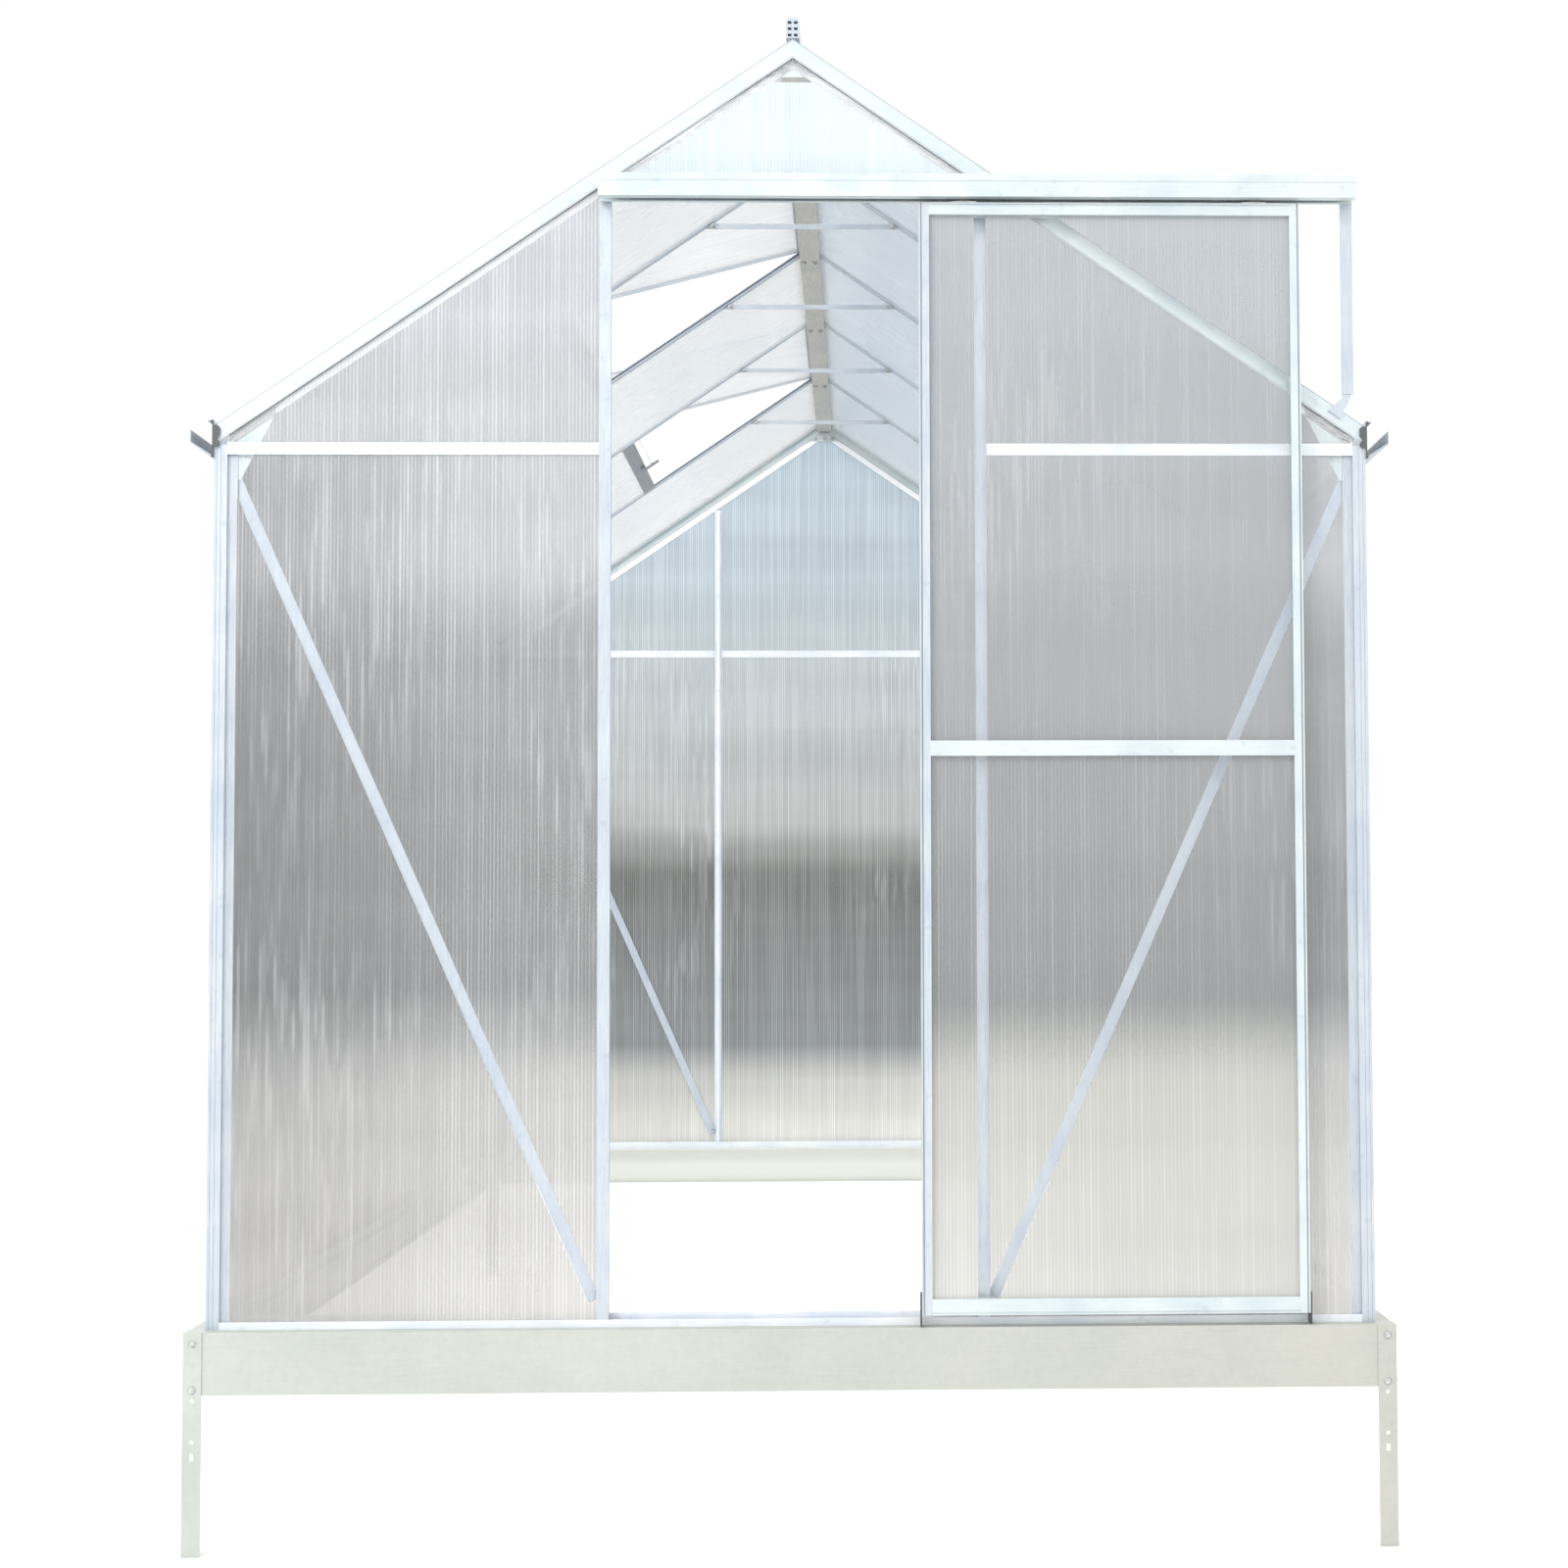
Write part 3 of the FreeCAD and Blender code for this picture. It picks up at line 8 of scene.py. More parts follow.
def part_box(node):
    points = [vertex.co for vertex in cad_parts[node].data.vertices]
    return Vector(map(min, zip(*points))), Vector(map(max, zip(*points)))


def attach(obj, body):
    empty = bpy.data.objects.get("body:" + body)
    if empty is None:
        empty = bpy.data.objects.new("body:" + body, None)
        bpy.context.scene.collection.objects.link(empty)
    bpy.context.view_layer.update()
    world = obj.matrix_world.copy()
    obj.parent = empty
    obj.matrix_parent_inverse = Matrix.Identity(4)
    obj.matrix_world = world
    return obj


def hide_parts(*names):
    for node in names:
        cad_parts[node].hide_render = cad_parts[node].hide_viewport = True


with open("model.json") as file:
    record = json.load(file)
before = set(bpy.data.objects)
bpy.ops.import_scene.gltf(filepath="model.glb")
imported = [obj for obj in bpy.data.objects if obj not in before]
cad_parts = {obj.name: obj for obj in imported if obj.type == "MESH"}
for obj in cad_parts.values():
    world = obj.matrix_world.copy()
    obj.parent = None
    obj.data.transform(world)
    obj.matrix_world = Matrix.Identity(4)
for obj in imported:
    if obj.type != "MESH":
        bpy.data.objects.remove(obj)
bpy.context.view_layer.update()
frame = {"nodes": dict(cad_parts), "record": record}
NODES = frame["nodes"]
BODIES = frame["record"]["behaviour"]["bodies"]
BODY_OF = {node: body for body, nodes in BODIES.items() for node in nodes}
X_AXIS, Y_AXIS, Z_AXIS = Vector((1, 0, 0)), Vector((0, 1, 0)), Vector((0, 0, 1))

# Roof: its slope, the right-hand eave and the apex, and how far a vent stands open at rest.
ROOF_RISE, ROOF_RUN = 0.650, 0.950
ROOF_SLOPE = math.atan2(ROOF_RISE, ROOF_RUN)
EAVE, _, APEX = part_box("gable_rafter_front_right")[1]
VENT_OPEN = math.radians(20)

# Front gable: its face, the depth within which pieces touch its sheets, the corner post's
# outer side, top and section, and how far a rafter's face and lip reach down.
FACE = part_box("gable_rafter_front_left")[0][1]
NEAR_FACE = FACE + 0.02
WALL_FACE, _, POST_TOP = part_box("corner_post_front_right")[1]
POST_TUBE, POST_FIN = 0.022, 0.016
RAFTER_FACE, RAFTER_LIP = 0.0315, 0.0485

# The camera stands in front of the door gable, above the top of the base.
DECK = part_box("base_rail_front")[1][2]
EYE = Vector((0.1177, FACE - 4.030, DECK + 0.6585))


# ---------------------------------------------------------------- shapes read from the frame

def loose_parts(mesh):
    """The points of each separate solid in a mesh."""
    owner = list(range(len(mesh.vertices)))

    def find(index):
        while owner[index] != index:
            owner[index] = owner[owner[index]]
            index = owner[index]
        return index

    places = {}
    for vertex in mesh.vertices:
        key = tuple(round(number, 5) for number in vertex.co)
        if key in places:
            owner[find(vertex.index)] = find(places[key])
        places[key] = vertex.index
    for edge in mesh.edges:
        first, second = (find(index) for index in edge.vertices)
        owner[first] = second
    parts = {}
    for vertex in mesh.vertices:
        parts.setdefault(find(vertex.index), []).append(vertex.co.copy())
    return list(parts.values())


def outline_of(points, across, along):
    """Convex outline of the points in the plane of two directions, anticlockwise."""
    flat = sorted({(round(p.dot(across), 5), round(p.dot(along), 5)) for p in points})

    def turn(a, b, c):
        return (b[0] - a[0]) * (c[1] - a[1]) - (b[1] - a[1]) * (c[0] - a[0])

    def chain(sequence):
        hull = []
        for point in sequence:
            while len(hull) > 1 and turn(hull[-2], hull[-1], point) <= 1e-9:
                hull.pop()
            hull.append(point)
        return hull[:-1]

    return chain(flat) + chain(flat[::-1])


def under_roof_edge(tall):
    """Outline, in X and Z, of a strip under the right-hand front roof edge."""
    fall = EAVE * math.tan(ROOF_SLOPE)
    return [(0.0, APEX - tall), (EAVE, APEX - tall - fall), (EAVE, APEX - fall), (0.0, APEX)]


def flat_pieces_behind_gable():
    """Outlines, in X and Z, of the brace, plates, lip and fin that touch the right front sheets."""
    found = []
    for node in ("wall_braces", "gusset_plates"):
        for points in loose_parts(NODES[node].data):
            if max(p.y for p in points) < NEAR_FACE and max(p.x for p in points) > 0.01:
                folded = [Vector((max(p.x, 0), p.y, p.z)) for p in points]
                found.append(outline_of(folded, X_AXIS, Z_AXIS))
    found.append(under_roof_edge(RAFTER_LIP))
    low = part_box("corner_post_front_right")[0][2]
    outer = WALL_FACE - POST_TUBE
    inner = outer - POST_FIN
    found.append([(inner, low), (outer, low), (outer, POST_TOP), (inner, POST_TOP)])
    return found


def frame_behind_door():
    """Outlines of the post, rail, rafter and brace behind the door, as they fall on its sheet."""
    (left, _, low), (right, _, _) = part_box("door_post_right")
    (_, _, rail_low), (rail_end, _, rail_high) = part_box("gable_rail_front_right")
    outlines = [
        [(left, low), (right, low), (right, APEX), (left, APEX)],
        [(right, rail_low), (rail_end, rail_low), (rail_end, rail_high), (right, rail_high)],
        under_roof_edge(RAFTER_FACE),
    ]
    for points in loose_parts(NODES["wall_braces"].data):
        if max(p.y for p in points) < NEAR_FACE and max(p.x for p in points) > right:
            outlines.append(outline_of(points, X_AXIS, Z_AXIS))
    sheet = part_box("door_panel_upper")[0][1]
    nearer = (FACE - sheet) / (FACE - EYE.y)
    return [[(x + (EYE.x - x) * nearer, z + (EYE.z - z) * nearer) for x, z in outline]
            for outline in outlines]


# ---------------------------------------------------------------- materials

def new_material(name):
    material = bpy.data.materials.new(name)
    material.use_nodes = True
    tree = material.node_tree
    return material, tree, tree.nodes["Principled BSDF"]


def stretched_noise(tree, turn, stretch, scale, detail=3.0):
    """Noise drawn out along one direction: turn is a rotation, stretch a scale per axis."""
    place = tree.nodes.new("ShaderNodeTexCoord")
    mapping = tree.nodes.new("ShaderNodeMapping")
    mapping.inputs["Rotation"].default_value = turn
    mapping.inputs["Scale"].default_value = stretch
    noise = tree.nodes.new("ShaderNodeTexNoise")
    noise.inputs["Scale"].default_value = scale
    noise.inputs["Detail"].default_value = detail
    tree.links.new(place.outputs["Object"], mapping.inputs["Vector"])
    tree.links.new(mapping.outputs["Vector"], noise.inputs["Vector"])
    return noise.outputs["Fac"]


def ramp(tree, factor, stops):
    node = tree.nodes.new("ShaderNodeValToRGB")
    tree.links.new(factor, node.inputs["Fac"])
    elements = node.color_ramp.elements
    while len(elements) < len(stops):
        elements.new(0.5)
    for element, (position, colour) in zip(elements, stops):
        element.position = position
        element.color = (*colour, 1)
    return node.outputs["Color"]


def mix(tree, factor, first, second, blend="MIX"):
    node = tree.nodes.new("ShaderNodeMix")
    node.data_type = "RGBA"
    node.blend_type = blend
    for index, value in ((0, factor), (6, first), (7, second)):
        socket = node.inputs[index]
        if isinstance(value, bpy.types.NodeSocket):
            tree.links.new(value, socket)
        else:
            socket.default_value = value if isinstance(value, float) else (*value, 1)
    return node.outputs[2]


def grey(value):
    return (value, value, value)


def span(tree, factor, low, high):
    """A number between low and high, for roughness and the like."""
    node = tree.nodes.new("ShaderNodeMapRange")
    node.inputs["To Min"].default_value = low
    node.inputs["To Max"].default_value = high
    tree.links.new(factor, node.inputs["Value"])
    return node.outputs["Result"]


def bump(tree, shader, height, strength, distance=0.001):
    node = tree.nodes.new("ShaderNodeBump")
    node.inputs["Strength"].default_value = strength
    node.inputs["Distance"].default_value = distance
    tree.links.new(height, node.inputs["Height"])
    tree.links.new(node.outputs["Normal"], shader.inputs["Normal"])


GRAIN = {
    "x": ((0, 0, 0), (1.5, 60, 60)),
    "y": ((0, 0, 0), (60, 1.5, 60)),
    "z": ((0, 0, 0), (60, 60, 1.5)),
    "left_slope": ((0, ROOF_SLOPE, 0), (1.5, 60, 60)),
    "right_slope": ((0, -ROOF_SLOPE, 0), (1.5, 60, 60)),
}


def mill_aluminium(name, colour, dark, grain, metallic=0.55, rough=(0.30, 0.50)):
    """Extruded aluminium: die lines along the bar, soft oxide blotches and a few scuffs."""
    material, tree, shader = new_material(name)
    turn, stretch = GRAIN[grain]
    lines = stretched_noise(tree, turn, stretch, 14.0)
    blotches = stretched_noise(tree, (0, 0, 0), (1, 1, 1), 9.0, 4.0)
    scuffs = stretched_noise(tree, (0.4, 0.3, 0.2), (1, 1, 1), 55.0, 5.0)
    tone = ramp(tree, lines, ((0.30, dark), (0.62, colour)))
    cloud = ramp(tree, blotches, ((0.35, (0.86, 0.90, 0.95)), (0.62, (1, 1, 1))))
    marks = ramp(tree, scuffs, ((0.28, (0.80, 0.82, 0.84)), (0.40, (1, 1, 1))))
    base = mix(tree, 1.0, tone, cloud, "MULTIPLY")
    base = mix(tree, 0.6, base, marks, "MULTIPLY")
    tree.links.new(base, shader.inputs["Base Color"])
    tree.links.new(span(tree, blotches, rough[0], rough[1]), shader.inputs["Roughness"])
    shader.inputs["Metallic"].default_value = metallic
    bump(tree, shader, lines, 0.15, 0.0004)
    return material


def axes(tree):
    """The three coordinates of a point of the object."""
    place = tree.nodes.new("ShaderNodeTexCoord")
    split = tree.nodes.new("ShaderNodeSeparateXYZ")
    tree.links.new(place.outputs["Object"], split.inputs["Vector"])
    return split.outputs["X"], split.outputs["Y"], split.outputs["Z"]


def recolour(material, change):
    """Run a material's base colour through change(tree, colour)."""
    tree = material.node_tree
    socket = tree.nodes["Principled BSDF"].inputs["Base Color"]
    tree.links.new(change(tree, socket.links[0].from_socket), socket)
    return material


def gutter_aluminium(name):
    """Plain and pale inside the walls, a darker mill finish outside them, and painted shade, near
    black, on the cut ends close to the wall.
    """
    def change(tree, colour):
        x, y, _ = axes(tree)
        outside = maths(tree, "GREATER_THAN", maths(tree, "ABSOLUTE", x), WALL_FACE + 0.0005)
        ends = maths(tree, "GREATER_THAN", maths(tree, "ABSOLUTE", y), 0.0005 - FACE)
        close = maths(tree, "LESS_THAN", maths(tree, "ABSOLUTE", x), WALL_FACE + 0.004)
        shown = mix(tree, outside, (0.66, 0.69, 0.72), colour)
        # Painted shade: near black on the cut ends close to the wall.
        return mix(tree, maths(tree, "MULTIPLY", ends, close), shown, (0.10, 0.105, 0.11))

    return recolour(mill_aluminium(name, (0.44, 0.48, 0.52), (0.27, 0.30, 0.33), "y", 0.4), change)


def edge_shade_and_lip_light(material, side):
    """Painted shade: a thin dark line along a rafter's top edge and another above its lower lip; a
    painted highlight makes the lip pale.
    """
    def change(tree, colour):
        x, _, z = axes(tree)
        down = maths(tree, "MULTIPLY_ADD", x, -math.tan(ROOF_SLOPE) * side, APEX)
        depth = maths(tree, "MULTIPLY", maths(tree, "SUBTRACT", down, z), math.cos(ROOF_SLOPE))
        top = maths(tree, "LESS_THAN", depth, 0.0016)
        low = maths(tree, "GREATER_THAN", depth, 0.0240)
        lip = maths(tree, "GREATER_THAN", depth, 0.0256)
        line = maths(tree, "MAXIMUM", top, maths(tree, "SUBTRACT", low, lip))
        edged = mix(tree, maths(tree, "MULTIPLY", line, 0.75), colour, (0.30, 0.32, 0.35))
        return mix(tree, lip, edged, (0.93, 0.95, 0.96))

    return recolour(material, change)


def sunk_line_shade(material, outer, direction):
    """Painted shade in the sunk line a little inside the outer edge of a door stile: a dark stripe.
    """
    def change(tree, colour):
        across = maths(tree, "MULTIPLY", maths(tree, "SUBTRACT", axes(tree)[0], outer), direction)
        after = maths(tree, "GREATER_THAN", across, 0.0026)
        before = maths(tree, "LESS_THAN", across, 0.0050)
        line = maths(tree, "MULTIPLY", maths(tree, "MULTIPLY", after, before), 0.8)
        return mix(tree, line, colour, (0.24, 0.27, 0.29))

    return recolour(material, change)


def ridge_aluminium(name):
    """Tan-grey under the roof, plain grey above it and pale at the front end."""
    def change(tree, colour):
        above = maths(tree, "GREATER_THAN", axes(tree)[2], APEX)
        front = maths(tree, "LESS_THAN", axes(tree)[1], FACE + 0.05)
        under = mix(tree, front, colour, (0.82, 0.85, 0.87))
        return mix(tree, above, under, (0.44, 0.48, 0.52))

    plain = mill_aluminium(name, (0.52, 0.50, 0.45), (0.36, 0.35, 0.32), "y", 0.3, (0.4, 0.6))
    return recolour(plain, change)


def galvanised_steel(name, grain):
    """Dull zinc: fine rolled lines, faint spangle and pale drips."""
    material, tree, shader = new_material(name)
    turn, stretch = GRAIN[grain]
    lines = stretched_noise(tree, turn, stretch, 9.0)
    clouds = stretched_noise(tree, (0, 0, 0), (1, 1, 1), 5.0, 5.0)
    place = tree.nodes.new("ShaderNodeTexCoord")
    cells = tree.nodes.new("ShaderNodeTexVoronoi")
    cells.inputs["Scale"].default_value = 110.0
    tree.links.new(place.outputs["Object"], cells.inputs["Vector"])
    tone = ramp(tree, lines, ((0.3, (0.525, 0.535, 0.50)), (0.7, (0.555, 0.565, 0.53))))
    cloud = ramp(tree, clouds, ((0.35, (0.90, 0.92, 0.92)), (0.65, (1, 1, 1))))
    base = mix(tree, 1.0, tone, cloud, "MULTIPLY")
    spangle = ramp(tree, cells.outputs["Color"], ((0.0, grey(0.92)), (1.0, grey(1.0))))
    base = mix(tree, 0.7, base, spangle, "MULTIPLY")
    # Painted light and shade across the base: paler and greener on the left, where the light comes
    # from, darker and warmer to the right.
    along = maths(tree, "MULTIPLY_ADD", axes(tree)[0], 0.5, 0.5)
    side_light = ramp(tree, along, ((0.0, (0.97, 1.0, 0.985)), (1.0, (0.94, 0.92, 0.89))))
    base = mix(tree, 1.0, base, side_light, "MULTIPLY")
    tree.links.new(base, shader.inputs["Base Color"])
    tree.links.new(span(tree, clouds, 0.42, 0.62), shader.inputs["Roughness"])
    shader.inputs["Metallic"].default_value = 0.45
    bump(tree, shader, lines, 0.12, 0.0004)
    return material


def painted_inside_light(material):
    """Painted light: the side of the back base rail that faces the doorway, painted paler where the
    light inside falls on it.
    """
    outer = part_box("base_rail_back")[1][1]

    def change(tree, colour):
        inner = maths(tree, "LESS_THAN", axes(tree)[1], outer - 0.0006)
        return mix(tree, inner, colour, (0.76, 0.78, 0.73))

    return recolour(material, change)


def zinc_plate(name):
    material, tree, shader = new_material(name)
    clouds = stretched_noise(tree, (0, 0, 0), (1, 1, 1), 160.0, 4.0)
    tone = ramp(tree, clouds, ((0.3, (0.38, 0.39, 0.40)), (0.7, (0.68, 0.68, 0.66))))
    tree.links.new(tone, shader.inputs["Base Color"])
    tree.links.new(span(tree, clouds, 0.25, 0.5), shader.inputs["Roughness"])
    shader.inputs["Metallic"].default_value = 0.85
    return material


def moulded_plastic(name, colour, rough):
    material, tree, shader = new_material(name)
    grain = stretched_noise(tree, (0, 0, 0), (1, 1, 1), 700.0, 3.0)
    shade = tuple(channel * 0.8 for channel in colour)
    tree.links.new(ramp(tree, grain, ((0.3, shade), (0.7, colour))), shader.inputs["Base Color"])
    tree.links.new(span(tree, grain, rough - 0.08, rough + 0.08), shader.inputs["Roughness"])
    bump(tree, shader, grain, 0.2, 0.0002)
    return material


def maths(tree, operation, first, second=None, third=None):
    node = tree.nodes.new("ShaderNodeMath")
    node.operation = operation
    for socket, value in zip(node.inputs, (first, second, third)):
        if isinstance(value, bpy.types.NodeSocket):
            tree.links.new(value, socket)
        elif value is not None:
            socket.default_value = value
    return node.outputs["Value"]


def noise_at(tree, x, y, z, scale=1.0, detail=2.0):
    """Noise at a point put together from three numbers."""
    join = tree.nodes.new("ShaderNodeCombineXYZ")
    for socket, value in zip(join.inputs, (x, y, z)):
        if isinstance(value, bpy.types.NodeSocket):
            tree.links.new(value, socket)
        else:
            socket.default_value = value
    noise = tree.nodes.new("ShaderNodeTexNoise")
    noise.inputs["Scale"].default_value = scale
    noise.inputs["Detail"].default_value = detail
    tree.links.new(join.outputs["Vector"], noise.inputs["Vector"])
    return noise.outputs["Fac"]


EDGE_SHARPNESS = 600.0


def inside_any(tree, x, z, outlines):
    """1 where a point lies in one of the anticlockwise convex outlines, 0 elsewhere."""
    result = None
    for outline in outlines:
        depth = None
        for (x0, z0), (x1, z1) in zip(outline, outline[1:] + outline[:1]):
            long = math.hypot(x1 - x0, z1 - z0)
            if long < 1e-6:
                continue
            right, up = -(z1 - z0) / long, (x1 - x0) / long
            edge = maths(tree, "MULTIPLY_ADD", z, up, -(x0 * right + z0 * up))
            edge = maths(tree, "MULTIPLY_ADD", x, right, edge)
            depth = edge if depth is None else maths(tree, "MINIMUM", depth, edge)
        result = depth if result is None else maths(tree, "MAXIMUM", result, depth)
    scaled = tree.nodes.new("ShaderNodeMath")
    scaled.operation = "MULTIPLY_ADD"
    scaled.use_clamp = True
    tree.links.new(result, scaled.inputs[0])
    scaled.inputs[1].default_value, scaled.inputs[2].default_value = EDGE_SHARPNESS, 0.6
    return scaled.outputs["Value"]


def twin_wall(name, across, along, tone_and_light, haze, line, contrast=1.0, touching=None, fold=True,
              side_shade=None, calm=None):
    """Ribbed translucent sheet, coloured with painted reflection, painted shade, a painted sheen
    down each channel and painted glints.

    across and along: the axes over the ribs and down them.
    tint: a list of (height, colour) up the sheet: its grey with painted reflection and painted
    shade of what lies around and behind it.
    haze: how opaque one face is from the clearest to the cloudiest place.
    line: how much more opaque it is where a rib shows.
    contrast: how strong the streaks and ribs are.
    touching: outlines of metal that touches the sheet from behind and shows clearly through it,
        folded about the middle if fold says so, else fixed in space.
    sides: painted shade, a list of (distance from the middle, grey) to multiply in below the eaves,
    darker further out and a little lighter at the far right.
    calm: how strong the ribs are high up right of the middle. They fade outwards low down.
    """
    material, tree, shader = new_material(name)
    place = dict(zip("XYZ", axes(tree)))
    over, down, height = place[across], place[along], place["Z"]
    count = maths(tree, "DIVIDE", over, RIB_PITCH)
    channel, phase = maths(tree, "FLOOR", count), maths(tree, "FRACT", count)
    apart = maths(tree, "MULTIPLY", channel, 13.71)
    streak = noise_at(tree, apart, 3.3, maths(tree, "MULTIPLY", down, 1.6), 1.0, 3.0)
    glint = noise_at(tree, apart, 9.1, maths(tree, "MULTIPLY", down, 5.0), 1.0, 2.0)
    cloud = noise_at(tree, maths(tree, "MULTIPLY", over, 1.3), 0.7,
                     maths(tree, "MULTIPLY", down, 2.1), 1.0, 3.0)
    patch = noise_at(tree, maths(tree, "MULTIPLY", over, 2.2), 5.2,
                     maths(tree, "MULTIPLY", down, 1.9), 1.0, 1.5)
    band = noise_at(tree, maths(tree, "MULTIPLY", over, 0.25), 1.9,
                    maths(tree, "MULTIPLY", height, 7.0), 1.0, 3.0)
    low, high = tone_and_light[0][0], tone_and_light[-1][0]
    rise = maths(tree, "DIVIDE", maths(tree, "SUBTRACT", height, low), high - low)
    tone = ramp(tree, rise, [((level - low) / (high - low), colour) for level, colour in tone_and_light])
    # Painted shade further out from the middle, below the eaves.
    if side_shade:
        away = ramp(tree, maths(tree, "ABSOLUTE", over), [(x, grey(value)) for x, value in side_shade])
        away = mix(tree, ramp(tree, over, ((0.77, grey(0.0)), (0.85, grey(1.0)))), away, grey(1.04))
        below = maths(tree, "LESS_THAN", height, POST_TOP)
        tone = mix(tree, below, tone, mix(tree, 1.0, tone, away, "MULTIPLY"))
    quiet = 1.0
    if calm:
        halved = maths(tree, "MULTIPLY", height, 0.5)
        upper = ramp(tree, halved, ((0.60, grey(1.2)), (0.69, grey(calm))))
        right = ramp(tree, over, ((0.0, grey(0.0)), (0.10, grey(1.0))))
        quiet = mix(tree, right, grey(1.0), upper)
        outer = ramp(tree, maths(tree, "ABSOLUTE", over),
                     ((0.55, grey(1.0)), (0.70, grey(0.5)), (0.84, grey(0.45)), (0.88, grey(0.3))))
        lower = ramp(tree, halved, ((0.66, grey(1.0)), (0.75, grey(0.0))))
        quiet = mix(tree, 1.0, quiet, mix(tree, lower, grey(1.0), outer), "MULTIPLY")
    # Painted reflection: soft darker patches.
    soft = ramp(tree, cloud, ((0.36, grey(1 - 0.22 * contrast)), (0.62, grey(1.0))))
    # Painted reflection: soft horizontal bands of what lies around the sheet.
    reflected_bands = ramp(tree, band, ((0.40, grey(1 - 0.18 * contrast)), (0.56, grey(1.0))))
    lines = ramp(tree, streak, ((0.34, grey(1 - 0.18 * contrast)), (0.50, grey(0.95)),
                                (0.66, grey(1.0))))
    base = mix(tree, 1.0, tone, soft, "MULTIPLY")
    base = mix(tree, 1.0, base, reflected_bands, "MULTIPLY")
    base = mix(tree, 1.0, base, lines, "MULTIPLY")
    dark_rib = ramp(tree, phase, ((0.0, grey(1.0)), (0.10, grey(1.0)), (0.22, grey(0.0)),
                                  (0.90, grey(0.0)), (1.0, grey(1.0))))
    # Painted sheen: a pale line down the middle of each channel, broken up by the streaks.
    channel_sheen = ramp(tree, phase, ((0.30, grey(0.0)), (0.42, grey(1.0)),
                                  (0.56, grey(1.0)), (0.68, grey(0.0))))
    broken = ramp(tree, streak, ((0.40, grey(0.25)), (0.62, grey(1.0))))
    pale = maths(tree, "MULTIPLY", channel_sheen, broken)
    dark = maths(tree, "MULTIPLY", maths(tree, "MULTIPLY", dark_rib, 0.06 + 0.50 * contrast), quiet)
    base = mix(tree, dark, base, mix(tree, 1.0, base, grey(0.35), "MULTIPLY"))
    # Mixes in the painted sheen.
    light = maths(tree, "MULTIPLY", maths(tree, "MULTIPLY", pale, 0.45 * contrast), quiet)
    base = mix(tree, light, base, (0.95, 0.96, 0.97))
    # Painted glints: short bright streaks down single channels, in patches.
    sparkle = maths(tree, "MULTIPLY", ramp(tree, glint, ((0.52, grey(0.0)), (0.62, grey(1.0)))),
                    ramp(tree, patch, ((0.50, grey(0.0)), (0.68, grey(0.3 * contrast)))))
    base = mix(tree, sparkle, base, (0.97, 0.98, 1.0))
    tree.links.new(base, shader.inputs["Base Color"])
    tree.links.new(span(tree, cloud, 0.16, 0.34), shader.inputs["Roughness"])
    marks = maths(tree, "MAXIMUM", maths(tree, "MAXIMUM", dark_rib, pale), sparkle)
    marks = maths(tree, "MULTIPLY", marks, quiet)
    cloudy = maths(tree, "MULTIPLY_ADD", marks, line, span(tree, cloud, haze[0], haze[1]))
    if touching:
        if fold:
            near = inside_any(tree, maths(tree, "ABSOLUTE", over), height, touching)
        else:
            fixed = tree.nodes.new("ShaderNodeSeparateXYZ")
            point = tree.nodes.new("ShaderNodeNewGeometry")
            tree.links.new(point.outputs["Position"], fixed.inputs["Vector"])
            near = inside_any(tree, fixed.outputs["X"], fixed.outputs["Z"], touching)
        cloudy = maths(tree, "MULTIPLY", cloudy, maths(tree, "MULTIPLY_ADD", near, -0.95, 1.0))
    tree.links.new(cloudy, shader.inputs["Alpha"])
    shader.inputs["IOR"].default_value = 1.58
    return material


RIB_PITCH, RIB_THICK, RIB_END = 0.006, 0.0005, 0.0008
SKIN = 0.0004

BRIGHT, BRIGHT_DARK = (0.56, 0.60, 0.635), (0.47, 0.51, 0.555)
METALS = {grain: mill_aluminium("mill_aluminium_" + grain, BRIGHT, BRIGHT_DARK, grain)
          for grain in GRAIN}
BRACE = mill_aluminium("brace_aluminium", (0.53, 0.58, 0.63), (0.43, 0.475, 0.53), "z", 0.25,
                       (0.35, 0.55))
RIDGE = ridge_aluminium("ridge_aluminium")
# Paler copies of the same mill aluminium, painted lit: a little paler for the gusset plates, door
# track, door rails, right stile and rafters, much paler for the rails, sills, header and back
# studs.
LIT, LIT_DARK = (0.63, 0.68, 0.68), (0.57, 0.63, 0.635)
LIT_METALS = {grain: mill_aluminium("lit_aluminium_" + grain, LIT, LIT_DARK, grain)
        for grain in ("x", "z")}
LIT_RAIL = mill_aluminium("lit_rail_aluminium", (0.80, 0.82, 0.84), (0.70, 0.73, 0.76), "x", 0.2)
LIT_STUD = mill_aluminium("lit_stud_aluminium", (0.80, 0.82, 0.84), (0.70, 0.73, 0.76), "z", 0.2)
SHADED = mill_aluminium("shaded_sill_aluminium", (0.36, 0.37, 0.39), (0.25, 0.26, 0.28), "y")
GUTTER = gutter_aluminium("gutter_aluminium")
